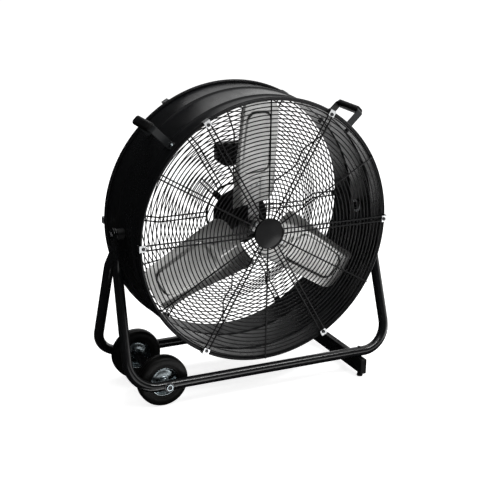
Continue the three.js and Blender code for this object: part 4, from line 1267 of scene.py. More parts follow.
@dataclass
class GuardClips(SubAssembly):
    """Zinc clips that hold a guard on the rim, each with its screw."""

    end: End
    count: int = 6
    radius: float = 0.3205
    face: float = 0.13115
    edge: float = 0.0006
    screw: Size = (0.0044, 0.0024)

    def build(self) -> None:
        """Dresses the clips and sets their screws."""
        facing = Vector((0.0, self.end.value, 0.0))
        seats = []
        for i in range(self.count):
            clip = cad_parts[f"{self.end.word}_clip_{i + 1}"]
            dress(clip, self.finish.zinc)
            softened(clip, self.edge)
            place = about_y(math.tau * i / self.count) @ Vector((self.radius, 0.0, 0.0))
            seats.append((AXIS @ place + facing * self.face, facing))
        name = f"{self.end.word}_clip_screws"
        # The clips' zinc screws get dark steel heads, which paint the shade of a dark hole round each
        # screw.
        self.add_screws(self.shop.dark_screws, name, seats, self.screw, Slot.ZINC)


@dataclass
class Badge(SubAssembly):
    """Round domed badge in the middle of the front guard, left blank."""

    radius: float = 0.038
    back: float = 0.13045
    thickness: float = 0.002
    crown: float = 0.0022
    dome_inset: float = 0.004
    dome_steps: int = 12

    # From the back's middle over its edge to the raised lip: how far inside the radius, and y.
    BACK = ((0.0006, 0.0), (0.0, 0.0006))
    LIP = ((0.0, -0.0004), (0.0008, 0.0006), (0.0026, 0.0006), (0.0034, -0.0001))

    def build(self) -> None:
        """Builds the badge with a raised lip and a dome."""
        edge = self.back + self.thickness
        profile = [(0.0, -self.back)]
        profile += [(self.radius - inset, -self.back - y) for inset, y in self.BACK]
        profile += [(self.radius - inset, -edge - y) for inset, y in self.LIP]
        for k in range(self.dome_steps + 1):
            share = 1.0 - k / self.dome_steps
            rise = self.crown * (1.0 - share * share)
            profile.append(((self.radius - self.dome_inset) * share, -edge - rise))
        self.add("badge_dome", Shape.turned(profile, 128).moved(AXIS), self.finish.gloss_plastic,
                 Slot.BLACK_PLASTIC, "front_badge", crease=30.0)


@dataclass
class Handle(SubAssembly):
    """Carrying handle: a bent strap with a foam grip, bolted through the drum."""

    side: Side
    lean: float = 46.0
    centre: float = -0.017
    top: float = 0.382
    seats: tuple[float, float] = (0.3216, 0.3256)
    bolt_half_span: float = 0.0655
    leg_half_span: float = 0.054
    strap_width: float = 0.018
    strap_thickness: float = 0.003
    bends: tuple[float, float] = (0.004, 0.007)
    grip: Corner = (0.024, 0.016, 0.094)
    grip_corner: float = 0.46
    grip_end: float = 0.0035
    grip_ripple: tuple[float, float] = (0.0003, 900.0)
    grip_steps: int = 32
    shank: tuple[float, float] = (0.003, 0.3160)
    nut: Corner = (0.0114, 0.3190, 0.3140)

    DOME = (
        (0.0, 0.0038), (0.0015, 0.0037), (0.003, 0.0031), (0.0045, 0.0021), (0.0055, 0.001), (0.006, 0.0))
    THREAD = (
        (0.0, 0.3118), (0.0026, 0.3118), (0.003, 0.3124), (0.003, 0.3150), (0.0, 0.3150))

    def place(self) -> Matrix:
        """Place of the handle.

        Returns:
            A matrix from x radial, y sideways and z along the drum.
        """
        direction = math.radians(90.0 - self.lean * self.side.value)
        radial = Vector((math.cos(direction), 0.0, math.sin(direction)))
        along = Vector((0.0, 1.0, 0.0))
        turn = Matrix((radial, along.cross(radial), along)).transposed().to_4x4()
        return Matrix.Translation((0.0, self.centre, AXIS_HEIGHT)) @ turn

    def build(self) -> None:
        """Builds the strap, the grip and the two bolts."""
        self.strap()
        self.sleeve()
        for end, seat in zip(End, self.seats):
            self.bolt(end, seat)

    def strap(self) -> None:
        """Builds the bent strap."""
        front, rear = (seat + self.strap_thickness / 2 for seat in self.seats)
        reach, leg = self.bolt_half_span + self.strap_width / 2, self.leg_half_span
        foot, shoulder = self.bends
        bends = [(front, -reach, 0.0), (front, -leg, foot), (self.top, -leg, shoulder)]
        bends += [(self.top, leg, shoulder), (rear, leg, foot), (rear, reach, 0.0)]
        outline = strip_outline(rounded(bends, closed=False, steps=8), self.strap_thickness)
        shape = Shape.plate(outline, -self.strap_width / 2, self.strap_width / 2)
        name = f"handle_strap_{self.side.word}"
        self.add(f"{name}_bent", shape.moved(self.place()), self.finish.strap, Slot.STRAP_COAT, name,
                 edge=0.0008)

    def sleeve(self) -> None:
        """Builds the foam grip with soft ends."""
        wide, thick, length = self.grip
        section = rounded(rectangle(thick / 2, wide / 2, thick * self.grip_corner), steps=8)
        height, waves = self.grip_ripple
        rings = []
        for k in range(self.grip_steps + 1):
            along = length * (k / self.grip_steps - 0.5)
            near = max(abs(along) - (length / 2 - self.grip_end), 0.0) / self.grip_end
            pinch = self.grip_end * (1.0 - math.sqrt(max(1.0 - near * near, 0.0)))
            swell = height * math.sin(along * waves) * (1.0 - near) - pinch
            grow = (1.0 + swell / (thick / 2), 1.0 + swell / (wide / 2))
            rings.append([Vector((self.top + p.x * grow[0], p.y * grow[1], along)) for p in section])
        name = f"handle_grip_{self.side.word}"
        self.add(f"{name}_foam", Shape.lofted(rings).moved(self.place()), self.finish.foam,
                 Slot.GRIP_FOAM, name, crease=60.0)

    def bolt(self, end: End, seat: float) -> None:
        """Builds one bolt with its nut inside the drum.

        Args:
            end: which foot of the strap it holds.
            seat: radius that the foot rests on.
        """
        across = Matrix.Translation((0.0, 0.0, end.value * self.bolt_half_span))
        place = self.place() @ across @ Matrix.Rotation(-math.pi / 2, 4, "Z")
        shank, stop = self.shank
        head = seat + self.strap_thickness
        profile = lifted(self.DOME, head) + [(shank, head), (shank, stop), (0.0, stop)]
        name = f"handle_bolt_{self.side.word}_{end.word}"
        self.add(f"{name}_domed", Shape.turned(profile, 40).moved(place), self.finish.chrome,
                 Slot.BRIGHT_STEEL, name)
        nut = hexagonal(*self.nut) + Shape.turned(self.THREAD, 32)
        self.add(f"{name}_nut", nut.moved(place), self.finish.dark_steel, Slot.BRIGHT_STEEL, crease=25.0)


# --------------------------------------------------------------------------- motor and rotor


@dataclass
class Motor(SubAssembly):
    """Flat round motor between two bells, bolted to the ring of the rear guard."""

    radius: float = 0.066
    front: float = 0.012
    rear: float = 0.054
    edge: float = 0.003
    grooves: int = 5
    groove_margin: float = 0.008
    lug_count: int = 4
    lug_back: float = 0.06825
    lug_sheet: float = 0.004
    lug_root: float = 0.02
    lug_reach: float = 0.083
    lug_width: float = 0.016
    lug_corner: float = 0.007
    screw_radius: float = 0.0755
    screw_back: float = 0.0052
    screw: Size = (0.0045, 0.0026)

    # Radius, and distance from the housing.
    FRONT_BELL = (
        (0.0, 0.0), (0.062, 0.0), (0.0615, -0.003), (0.059, -0.0055), (0.045, -0.009), (0.03, -0.0108),
        (0.0265, -0.0115), (0.0245, -0.015), (0.0235, -0.016), (0.0, -0.016))
    REAR_BELL = (
        (0.0, 0.0), (0.062, 0.0), (0.0612, 0.004), (0.058, 0.006), (0.033, 0.007), (0.0297, 0.01395),
        (0.0, 0.01395))
    # Offset along the housing, and depth of a cooling groove.
    GROOVE = ((-0.002, 0.0), (-0.001, 0.001), (0.001, 0.001), (0.002, 0.0))

    def build(self) -> None:
        """Builds the housing, the bells, the lugs and their bolts."""
        rear = Shape.turned(lifted(self.REAR_BELL, self.rear + GAP), 128) + self.lugs()
        front = Shape.turned(lifted(self.FRONT_BELL, self.front - GAP), 128)
        shapes = {"motor_housing": self.housing(), "motor_front_bell": front, "motor_rear_bell": rear}
        for name, shape in shapes.items():
            self.add(f"{name}_cast", shape.moved(AXIS), self.finish.motor, Slot.BLACK_COAT, name,
                     crease=30.0, edge=0.0006)
        seats = []
        for turn in self.turns():
            place = turn @ Vector((self.screw_radius, 0.0, 0.0))
            back = Vector((0.0, self.lug_back - self.screw_back, 0.0))
            seats.append((AXIS @ place + back, Vector((0.0, -1.0, 0.0))))
        self.add_screws(self.shop.dark_screws, "motor_lug_screws", seats, self.screw, Slot.BRIGHT_STEEL)

    def turns(self) -> list[Matrix]:
        """Turn of each lug about the axis, half a step from +X."""
        return [about_y(math.tau * (k + 0.5) / self.lug_count) for k in range(self.lug_count)]

    def housing(self) -> Shape:
        """The grooved housing.

        Returns:
            The housing, about the axis of the drum.
        """
        inner = self.radius - self.edge
        profile = [(0.0, self.front), (inner, self.front), (self.radius, self.front + self.edge)]
        first, last = self.front + self.groove_margin, self.rear - self.groove_margin
        for k in range(self.grooves):
            y = mixed(first, last, k / (self.grooves - 1))
            profile += [(self.radius - depth, y + offset) for offset, depth in self.GROOVE]
        profile += [(self.radius, self.rear - self.edge), (inner, self.rear), (0.0, self.rear)]
        return Shape.turned(profile, 128)

    def lugs(self) -> Shape:
        """The lugs of the rear bell.

        Returns:
            The lugs, about the axis of the drum.
        """
        half = self.lug_width / 2
        outline = [(self.lug_root, -half, 0.0), (self.lug_reach, -half, self.lug_corner)]
        outline += [(self.lug_reach, half, self.lug_corner), (self.lug_root, half, 0.0)]
        lug = Shape.plate(rounded(outline), self.lug_back - self.lug_sheet, self.lug_back)
        lugs = Shape([])
        for turn in self.turns():
            lugs = lugs + lug.moved(turn)
        return lugs


@dataclass
class Rotor(SubAssembly):
    """Three pressed blades on the arms of a hub."""

    count: int = 3
    root: float = 0.054
    tip: float = 0.303
    sheet: float = 0.002
    middle: float = -0.046
    leading: tuple[float, float] = (0.064, 0.066)
    trailing: tuple[float, float] = (0.071, 0.046)
    pitch: tuple[float, float] = (18.0, 7.5)
    flange_pitch: float = 30.0
    flange_width: tuple[float, float] = (0.015, 0.014)
    flange_waist: float = 0.225
    flange_spread: float = 0.1278
    fold_bend: float = 0.0025
    tip_corner: float = 0.020
    root_corner: float = 0.030
    panel_corner: float = 0.022
    panel_rise: float = 0.0034
    panel_ramp: float = 0.0058
    panel_softness: float = 0.35
    panel_margins: tuple[float, float, float, float] = (0.004, 0.019, 0.022, 0.010)
    rib_start: float = 0.006
    rib_half_width: float = 0.02
    rib_rise: float = 0.0012
    rib_ramp: float = 0.004
    stations: int = 160
    flange_steps: int = 8
    face_steps: int = 80
    arm_root: float = 0.009
    arm_half_width: float = 0.017
    arm_end: float = 0.118
    arm_sheet: float = 0.003
    arm_least_width: float = 0.02
    arm_stations: int = 20
    arm_steps: int = 12
    rivet: Size = (0.0036, 0.0024)
    rivet_sink: float = 0.0006
    rivet_facing: Corner = (0.2, -1.0, 0.0)

    body = Body.ROTOR
    HUB = (
        (0.0, -0.064), (0.0145, -0.064), (0.0165, -0.0632), (0.018, -0.061), (0.018, -0.027),
        (0.0168, -0.0245), (0.015, -0.024), (0.0, -0.024))
    SHAFT = ((0.0, -0.066), (0.005, -0.066), (0.006, -0.065), (0.006, 0.04), (0.0, 0.04))
    RIVETS = ((0.0, 0.070), (-0.009, 0.098), (0.009, 0.098))

    def chord(self, share: float) -> tuple[float, float, float]:
        """Edges and fold of a blade.

        Args:
            share: way from the root to the tip.

        Returns:
            Leading edge, trailing edge and fold, as values of x.
        """
        leading = mixed(*self.leading, share)
        trailing = -mixed(*self.trailing, ease(share))
        waist = (mixed(self.root, self.tip, share) - self.flange_waist) / self.flange_spread
        least, more = self.flange_width
        return leading, trailing, trailing + least + more * waist * waist

    def face(self, share: float, x: float) -> float:
        """Height of a blade's front face without its pressing.

        Args:
            share: way from the root to the tip.
            x: place across the blade.

        Returns:
            The place along the axis.
        """
        fold = self.chord(share)[2]
        slope = math.tan(math.radians(mixed(*self.pitch, share)))
        past, bend = max(fold - x, 0.0), self.fold_bend
        soft = past * past / (2 * bend) if past < bend else past - bend / 2
        fall = math.tan(math.radians(self.flange_pitch)) * soft
        return self.middle + slope * max(x, fold) - fall

    def tip_at(self, x: float) -> float:
        """Radius of a blade's tip.

        Args:
            x: place across the blade.

        Returns:
            The radius, less at the two rounded corners.
        """
        arc = self.tip * math.cos(math.asin(x / self.tip))
        past = max(x - self.leading[1], -self.trailing[1] - x) + self.tip_corner
        return arc - fallen(past, self.tip_corner)

    def root_at(self, x: float) -> float:
        """Radius of a blade's root, more at the rounded leading corner."""
        return self.root + fallen(x - self.leading[0] + self.root_corner, self.root_corner)

    def pressing(self, share: float, x: float, z: float) -> float:
        """Height of the pressed panel and of the rib of a blade.

        Args:
            share: way from the root to the tip.
            x: place across the blade.
            z: radius.

        Returns:
            How far the sheet stands forward there.
        """
        leading, _, fold = self.chord(share)
        by_fold, by_leading, by_tip, by_arm = self.panel_margins
        across = min(x - fold - by_fold, leading - by_leading - x)
        along = min(self.tip_at(x) - by_tip - z, z - self.arm_end - by_arm)
        inset = min(across, along)
        if max(across, along) < self.panel_corner:
            inset = self.panel_corner - math.hypot(self.panel_corner - across, self.panel_corner - along)
        rib = min(z - self.root - self.rib_start, self.arm_end - z, self.rib_half_width - abs(x))
        ramp = min(max(inset / self.panel_ramp, 0.0), 1.0)
        panel = self.panel_rise * mixed(ramp, ease(ramp), self.panel_softness)
        return panel + self.rib_rise * ease(rib / self.rib_ramp)

    def blade(self) -> Shape:
        """One blade along +Z.

        Returns:
            The pressed sheet with its folded trailing flange.
        """
        rings = []
        for i in range(self.stations + 1):
            share = i / self.stations
            leading, trailing, fold = self.chord(share)
            across = [mixed(trailing, fold, k / self.flange_steps) for k in range(self.flange_steps)]
            across += [mixed(fold, leading, k / self.face_steps) for k in range(self.face_steps + 1)]
            front = []
            for x in across:
                z = mixed(self.root_at(x), self.tip_at(x), share)
                front.append(Vector((x, self.face(share, x) - self.pressing(share, x, z), z)))
            rings.append(thickened(front, self.sheet))
        return Shape.lofted(rings, strip=True)

    def arm(self) -> Shape:
        """One arm of the hub, behind the blade along +Z.

        Returns:
            The arm.
        """
        rings = []
        for i in range(self.arm_stations + 1):
            z = mixed(self.arm_root, self.arm_end, i / self.arm_stations)
            share = max(0.0, (z - self.root) / (self.tip - self.root))
            past = max(z - self.arm_end + self.arm_half_width, 0.0) / self.arm_half_width
            half = self.arm_half_width * math.sqrt(max(1.0 - past * past, self.arm_least_width))
            across = [half * (2 * k / self.arm_steps - 1.0) for k in range(self.arm_steps + 1)]
            front = [Vector((x, self.face(share, x) + (self.sheet + GAP), z)) for x in across]
            rings.append(thickened(front, self.arm_sheet))
        return Shape.lofted(rings, strip=True)

    def rivet_seats(self, turn: Matrix) -> Seats:
        """Seats of the rivets on one blade.

        Args:
            turn: turn of the blade about the axis.

        Returns:
            Place and facing of each rivet.
        """
        seats = []
        facing = turn @ Vector(self.rivet_facing).normalized()
        for x, z in self.RIVETS:
            share = (z - self.root) / (self.tip - self.root)
            y = self.face(share, x) - self.pressing(share, x, z) - self.rivet_sink
            seats.append((AXIS @ turn @ Vector((x, y, z)), facing))
        return seats

    def build(self) -> None:
        """Builds the blades, the hub with its arms, the shaft and the rivets."""
        spider = Shape.turned(self.HUB, 96)
        rivets: Seats = []
        for i in range(self.count):
            turn = about_y(math.tau * i / self.count)
            spider = spider + self.arm().moved(turn)
            name = f"blade_{i + 1}"
            self.add(f"{name}_pressed", self.blade().moved(AXIS @ turn), self.finish.blade,
                     Slot.BLADE_SHEET, name, crease=50.0)
            rivets += self.rivet_seats(turn)
        self.add("hub_spider", spider.moved(AXIS), self.finish.hub, Slot.BLACK_COAT, "fan_hub",
                 crease=40.0)
        self.add("motor_shaft_ground", Shape.turned(self.SHAFT, 48).moved(AXIS), self.finish.zinc,
                 Slot.BRIGHT_STEEL, "motor_shaft")
        self.add_screws(self.shop.zinc_screws, "blade_rivets", rivets, self.rivet, Slot.ZINC)


@dataclass
class ControlBox(SubAssembly):
    """Control box on the rear guard, with its cover, speed knob and cable gland."""

    width: float = 0.079
    height: float = 0.055
    chamfer: float = 0.012
    corners: tuple[float, float] = (0.004, 0.005)
    front: float = 0.07595
    rear: float = 0.10795
    cover_rear: float = 0.11125
    cover_inset: float = 0.001
    centre: float = 0.564
    gland: tuple[float, float] = (0.08795, 0.563)
    gland_hexagon: Corner = (0.016, 0.0, 0.003)
    screw: Size = (0.003, 0.0016)
    screw_sink: float = 0.0006
    knob_flutes: int = 20
    knob_flute_depth: float = 0.0003
    knob_steps: int = 160
    knob_bar: tuple[float, float] = (0.003, 0.014)

    SCREWS = ((-0.033, 0.021), (0.033, 0.021), (-0.026, -0.0215), (0.026, -0.0215))
    KNOB = ((0.0150, 0.0), (0.0150, 0.0010), (0.0144, 0.0055), (0.0136, 0.0063))
    KNOB_WING = (
        (-0.0033, -0.0135, 0.002), (0.0033, -0.0135, 0.002), (0.0026, 0.0135, 0.002),
        (-0.0026, 0.0135, 0.002))
    GLAND = (
        (0.0, 0.0), (0.0064, 0.0), (0.0064, 0.0044), (0.0061, 0.0053), (0.0056, 0.0059), (0.0051, 0.006),
        (0.0043, 0.0058), (0.004, 0.0053), (0.004, 0.0015), (0.0, 0.0015))

    @property
    def middle(self) -> Matrix:
        """Place of the knob's axis and of the middle of the box."""
        return Matrix.Translation((0.0, 0.0, self.centre))

    def outline(self, inset: float) -> list[Vector]:
        """Outline of the box seen from behind.

        Args:
            inset: how far inside the box it lies.

        Returns:
            The outline about the middle of the box.
        """
        side, top, cut = self.width / 2 - inset, self.height / 2 - inset, self.chamfer
        low, high = self.corners
        corners = [(-side + cut, -top, low), (side - cut, -top, low), (side, -top + cut, low)]
        corners += [(side, top, high), (-side, top, high), (-side, -top + cut, low)]
        return rounded(corners)

    def build(self) -> None:
        """Builds the box, the cover with its screws, the knob and the gland."""
        finish, slot = self.finish.plastic, Slot.BLACK_PLASTIC
        box = Shape.plate(self.outline(0.0), self.front, self.rear)
        self.add("control_box_moulded", box.moved(self.middle), finish, slot, "control_box",
                 edge=0.0015, rounds=3)
        cover = Shape.plate(self.outline(self.cover_inset), self.rear + GAP, self.cover_rear)
        self.add("control_cover_moulded", cover.moved(self.middle), finish, slot, "control_box_cover",
                 edge=0.001)
        seats = []
        for x, z in self.SCREWS:
            place = Vector((x, self.cover_rear + self.screw_sink, self.centre + z))
            seats.append((place, Vector((0.0, 1.0, 0.0))))
        self.add_screws(self.shop.zinc_screws, "cover_screws", seats, self.screw, Slot.ZINC)
        self.knob()
        self.entry()

    def knob(self) -> None:
        """Builds the knob with a fluted skirt and a pointer bar."""
        base = self.cover_rear + GAP
        rings = []
        for radius, along in self.KNOB:
            ring = []
            for k in range(self.knob_steps):
                angle = math.tau * k / self.knob_steps
                reach = radius - self.knob_flute_depth * (1.0 + math.cos(self.knob_flutes * angle))
                ring.append(Vector((reach * math.cos(angle), base + along, reach * math.sin(angle))))
            rings.append(ring)
        low, high = self.knob_bar
        shape = Shape.lofted(rings) + Shape.plate(rounded(self.KNOB_WING), base + low, base + high)
        self.add("speed_knob_fluted", shape.moved(self.middle), self.finish.gloss_plastic,
                 Slot.BLACK_PLASTIC, "speed_knob", edge=0.0006, on=Body.KNOB)

    def entry(self) -> None:
        """Builds the gland on the side of the box."""
        shape = Shape.turned(self.GLAND, 48) + hexagonal(*self.gland_hexagon)
        place = Matrix.Translation((-self.width / 2 - GAP, *self.gland))
        turned = shape.moved(place @ Matrix.Rotation(math.pi / 2, 4, "Z"))
        self.add("cable_gland_moulded", turned, self.finish.gland, Slot.BLACK_PLASTIC, "cable_gland")


# --------------------------------------------------------------------------- stand


@dataclass
class StandTube(SubAssembly):
    """One bent tube of the stand, pressed flat at its two ends for the pivots."""

    end: End
    flat_x: float
    radius: float = 0.0125
    half_depth: float = 0.124
    run_height: float = 0.0635
    corner_x: float = 0.3559
    top_x: float = 0.346
    bend: float = 0.070
    flat: tuple[float, float, float] = (0.005, 0.034, 0.052)
    flare: float = 0.044
    squareness: float = 0.45
    section_steps: int = 40
    bend_steps: int = 28
    tip_steps: int = 8
    tip_width: float = 0.04
    flare_steps: int = 12

    body = Body.STAND

    def section(self, flatness: float, narrowing: float) -> list[tuple[float, float]]:
        """Section of the tube.

        Args:
            flatness: 0 where it is round and 1 where it is pressed flat.
            narrowing: share of its width left, at the rounded end.

        Returns:
            Points across and beside the tube.
        """
        thick = mixed(self.radius, self.flat[0] / 2, flatness)
        wide = mixed(self.radius, self.flat[1] / 2, flatness) * narrowing
        power = mixed(1.0, self.squareness, flatness)
        points = []
        for k in range(self.section_steps):
            angle = math.tau * (k + 0.5) / self.section_steps
            c, s = math.cos(angle), math.sin(angle)
            across = math.copysign(abs(c) ** power, c) * thick
            points.append((across, math.copysign(abs(s) ** power, s) * wide))
        return points

    def stations(self) -> list[tuple[Vector, float, float]]:
        """The tube's line from the left pivot to the right one, in its own plane.

        Returns:
            Place in x and z, flatness and narrowing of each section.
        """
        rise = math.hypot(self.half_depth, AXIS_HEIGHT - self.run_height)
        start = -self.flat[2] - self.flare
        begin = mixed(self.top_x, self.corner_x, -start / rise)
        bends = [(-begin, start, 0.0), (-self.corner_x, -rise, self.bend)]
        bends += [(self.corner_x, -rise, self.bend), (begin, start, 0.0)]
        run = [(point, 0.0, 1.0) for point in rounded(bends, closed=False, steps=self.bend_steps)]
        top = []
        for k in range(self.tip_steps + 1):
            angle = math.pi / 2 * (1.0 - k / self.tip_steps)
            place = Vector((-self.flat_x, self.flat[1] / 2 * math.sin(angle)))
            top.append((place, 1.0, max(math.cos(angle), self.tip_width)))
        for k in range(self.flare_steps + 1):
            share = ease(k / self.flare_steps)
            height = mixed(-self.flat[2], start, k / self.flare_steps)
            top.append((Vector((-mixed(self.flat_x, begin, share), height)), 1.0 - share, 1.0))
        mirrored = [(Vector((-p.x, p.y)), flat, narrow) for p, flat, narrow in reversed(top)]
        return top + run[1:-1] + mirrored

    def build(self) -> None:
        """Builds the tube."""
        stations = self.stations()
        last = len(stations) - 1
        rings = []
        for i, (place, flatness, narrowing) in enumerate(stations):
            along = (stations[min(i + 1, last)][0] - stations[max(i - 1, 0)][0]).normalized()
            if flatness == 1.0:
                along = Vector((0.0, -1.0 if place.x < 0 else 1.0))
            across = Vector((along.y, -along.x))
            ring = []
            for u, v in self.section(flatness, narrowing):
                point = place + across * u
                ring.append(Vector((point.x, v, point.y)))
            rings.append(ring)
        tilt = math.atan2(self.half_depth, AXIS_HEIGHT - self.run_height) * self.end.value
        shape = Shape.lofted(rings).moved(AXIS @ Matrix.Rotation(tilt, 4, "X"))
        self.add(f"{self.end.word}_stand_tube", shape, self.finish.tube, Slot.BLACK_COAT,
                 f"{self.end.word}_frame_tube", crease=50.0)


@dataclass
class Pivot(SubAssembly):
    """Pivot on one side: bolt, spacer, washer inside the drum and nut."""

    side: Side
    bolt: float = 0.005
    bolt_past_nut: float = 0.002
    hexagon: float = 0.019
    head: tuple[float, float] = (0.3511, 0.3581)
    nut: tuple[float, float] = (0.3092, 0.3162)

    body = Body.STAND
    SPACER = (
        (0.0055, 0.3216), (0.0134, 0.3216), (0.014, 0.3222), (0.014, 0.3396), (0.0134, 0.3402),
        (0.0055, 0.3402))
    WASHER = ((0.0056, 0.3165), (0.0165, 0.3165), (0.017, 0.3170), (0.017, 0.3190), (0.0056, 0.3190))

    def build(self) -> None:
        """Builds the pieces of the pivot."""
        place = AXIS @ Matrix.Rotation(-self.side.value * math.pi / 2, 4, "Z")
        steel, word = self.finish.dark_steel, self.side.word
        start, stop = self.nut[0] - self.bolt_past_nut, self.head[0]
        shank = Shape.turned([(0.0, start), (self.bolt, start), (self.bolt, stop), (0.0, stop)], 40)
        bolt = shank + hexagonal(self.hexagon, *self.head)
        self.add(f"pivot_bolt_{word}_steel", bolt.moved(place), steel, Slot.BRIGHT_STEEL,
                 f"pivot_bolt_{word}", crease=25.0)
        spacer = Shape.turned(self.SPACER, 64, loop=True)
        self.add(f"pivot_spacer_{word}_moulded", spacer.moved(place), self.finish.plastic,
                 Slot.BLACK_PLASTIC, f"pivot_spacer_{word}")
        nut = hexagonal(self.hexagon, self.nut[1], self.nut[0])
        self.add(f"pivot_nut_{word}_steel", nut.moved(place), steel, Slot.BRIGHT_STEEL,
                 f"pivot_nut_{word}", crease=25.0)
        washer = Shape.turned(self.WASHER, 64, loop=True)
        self.add(f"pivot_washer_{word}_zinc", washer.moved(place), self.finish.zinc, Slot.ZINC,
                 f"pivot_washer_{word}", on=Body.DRUM)


@dataclass
class FootBar(SubAssembly):
    """Rectangular bar across the stand, with an end cap and a rubber foot at each end."""

    centre_x: float = 0.271
    width: float = 0.016
    corner: float = 0.002
    bottom: float = 0.011
    top: float = 0.0507
    half_length: float = 0.1485
    cap_end: float = 0.1515
    foot_y: float = 0.1335
    bolt_y: float = 0.124
    bolt_z: float = 0.0754
    bolt: Size = (0.005, 0.0022)

    body = Body.STAND
    FOOT = (
        (0.0, 0.0), (0.0068, 0.0), (0.0077, 0.0005), (0.008, 0.0013), (0.008, 0.003), (0.0075, 0.0042),
        (0.0065, 0.0054), (0.0065, 0.0107), (0.0, 0.0107))

    def build(self) -> None:
        """Builds the bar, the caps, the feet and the bolts on the tubes."""
        middle = Matrix.Translation((self.centre_x, 0.0, (self.bottom + self.top) / 2))
        outline = rounded(rectangle(self.width / 2, (self.top - self.bottom) / 2, self.corner))
        bar = Shape.plate(outline, -self.half_length, self.half_length)
        self.add("foot_bar_tube", bar.moved(middle), self.finish.bar, Slot.BLACK_COAT, "foot_bar",
                 edge=0.0006)
        seats = []
        for end in End:
            span = sorted(end.value * y for y in (self.half_length + GAP, self.cap_end))
            name = f"foot_bar_cap_{end.word}"
            self.add(f"{name}_moulded", Shape.plate(outline, *span).moved(middle), self.finish.plastic,
                     Slot.BLACK_PLASTIC, name, edge=0.001)
            self.foot(end)
            place = Vector((self.centre_x, end.value * self.bolt_y, self.bolt_z))
            seats.append((place, Vector((0.0, 0.0, 1.0))))
        self.add_screws(self.shop.dark_screws, "foot_bar_bolts", seats, self.bolt, Slot.BRIGHT_STEEL)

    def foot(self, end: End) -> None:
        """Builds one rubber foot.

        Args:
            end: end of the bar.
        """
        place = Matrix.Translation((self.centre_x, end.value * self.foot_y, 0.0))
        shape = Shape.turned(self.FOOT, 64).moved(place @ Matrix.Rotation(math.pi / 2, 4, "X"))
        name = f"foot_pad_{end.word}"
        self.add(f"{name}_rubber", shape, self.finish.foot, Slot.FOOT_RUBBER, name)


@dataclass
class Wheel(SubAssembly):
    """Rubber tyre on a pressed rim with rolled lips."""

    end: End
    centre_x: float = -0.260
    centre_y: float = 0.090
    radius: float = 0.0635

    # Half of each section, from the outer side to the middle plane.
    TYRE = (
        (0.0363, 0.0135), (0.0385, 0.0152), (0.0405, 0.0148), (0.0425, 0.0158), (0.0460, 0.0172),
        (0.0500, 0.0175), (0.0550, 0.0172), (0.0590, 0.0156), (0.0615, 0.0132), (0.0629, 0.0098),
        (0.0633, 0.0072), (0.0628, 0.0066), (0.0628, 0.0056), (0.0634, 0.0050), (0.0635, 0.0))
    RIM = (
        (0.0063, 0.0212), (0.0113, 0.0212), (0.012, 0.0205), (0.012, 0.012), (0.0128, 0.0104),
        (0.0150, 0.0095), (0.0190, 0.0088), (0.0230, 0.0072), (0.0262, 0.0050), (0.0285, 0.0046),
        (0.0300, 0.0060), (0.0312, 0.0092), (0.0322, 0.0122), (0.0336, 0.0138), (0.0350, 0.0140),
        (0.0360, 0.0130), (0.0361, 0.0))

    def half_turned(self, half: Profile, steps: int) -> Shape:
        """A section that is the same on both sides, turned and put in place.

        Args:
            half: half of the section.
            steps: facets round the axle.

        Returns:
            The shape, with -Y pointing away from the other wheel.
        """
        whole = half + tuple((r, -y) for r, y in reversed(half[:-1]))
        middle = Matrix.Translation((self.centre_x, self.end.value * self.centre_y, self.radius))
        turn = Matrix.Rotation(math.pi if self.end is End.REAR else 0.0, 4, "Z")
        return Shape.turned(whole, steps, loop=True).moved(middle @ turn)

    def build(self) -> None:
        """Builds the tyre and the rim."""
        body, word = Body[f"WHEEL_{self.end.name}"], self.end.word
        self.add(f"tyre_{word}_moulded", self.half_turned(self.TYRE, 160), self.finish.tyre,
                 Slot.TYRE_RUBBER, f"tyre_{word}", crease=50.0, on=body)
        self.add(f"wheel_rim_{word}_pressed", self.half_turned(self.RIM, 128), self.finish.chrome,
                 Slot.BRIGHT_STEEL, f"wheel_rim_{word}", crease=50.0, on=body)


@dataclass
class Axle(SubAssembly):
    """Axle rod with its head, washer and nut, and the tube between the wheels."""

    centre_x: float = -0.260
    centre_z: float = 0.0635
    seat: float = 0.1368
    nut: tuple[float, float] = (0.0204, 0.005)

    body = Body.STAND
    # Radius, and distance past the tubes: the rear end, and the head with its recess.
    ROD_END = ((0.0, 0.003), (0.0052, 0.003), (0.006, 0.0022))
    ROD_HEAD = (
        (0.006, 0.0), (0.0117, 0.0), (0.012, 0.0004), (0.012, 0.0013), (0.0116, 0.0016),
        (0.0072, 0.0016), (0.0054, 0.0016), (0.0048, 0.0044), (0.003, 0.0051), (0.0, 0.0052))
    COLLAR = (
        (0.0056, 0.0016), (0.0081, 0.0016), (0.0081, 0.0046), (0.0073, 0.0056), (0.0062, 0.0056),
        (0.0056, 0.0048))
    TUBE = (
        (0.0063, -0.0685), (0.0119, -0.0685), (0.0125, -0.0679), (0.0125, 0.0679), (0.0119, 0.0685),
        (0.0063, 0.0685))

    def build(self) -> None:
        """Builds the axle, its nut and the tube."""
        place = Matrix.Translation((self.centre_x, 0.0, self.centre_z))
        steel = Slot.BRIGHT_STEEL
        rod = lifted(self.ROD_END, self.seat) + [(r, -self.seat - y) for r, y in self.ROD_HEAD]
        self.add("wheel_axle_steel", Shape.turned(rod, 64).moved(place), self.finish.dark_steel,
                 steel, "wheel_axle", crease=30.0)
        collar = Shape.turned([(r, -self.seat - y) for r, y in self.COLLAR], 64, loop=True)
        self.add("axle_collar", collar.moved(place), self.finish.chrome, steel, crease=30.0)
        across, thick = self.nut
        nut = hexagonal(across, self.seat, self.seat + thick)
        self.add("axle_nut_steel", nut.moved(place), self.finish.zinc, steel, "axle_nut", crease=25.0)
        tube = Shape.turned(self.TUBE, 64, loop=True)
        self.add("axle_tube_coated", tube.moved(place), self.finish.tube, Slot.BLACK_COAT, "axle_tube")


# --------------------------------------------------------------------------- studio


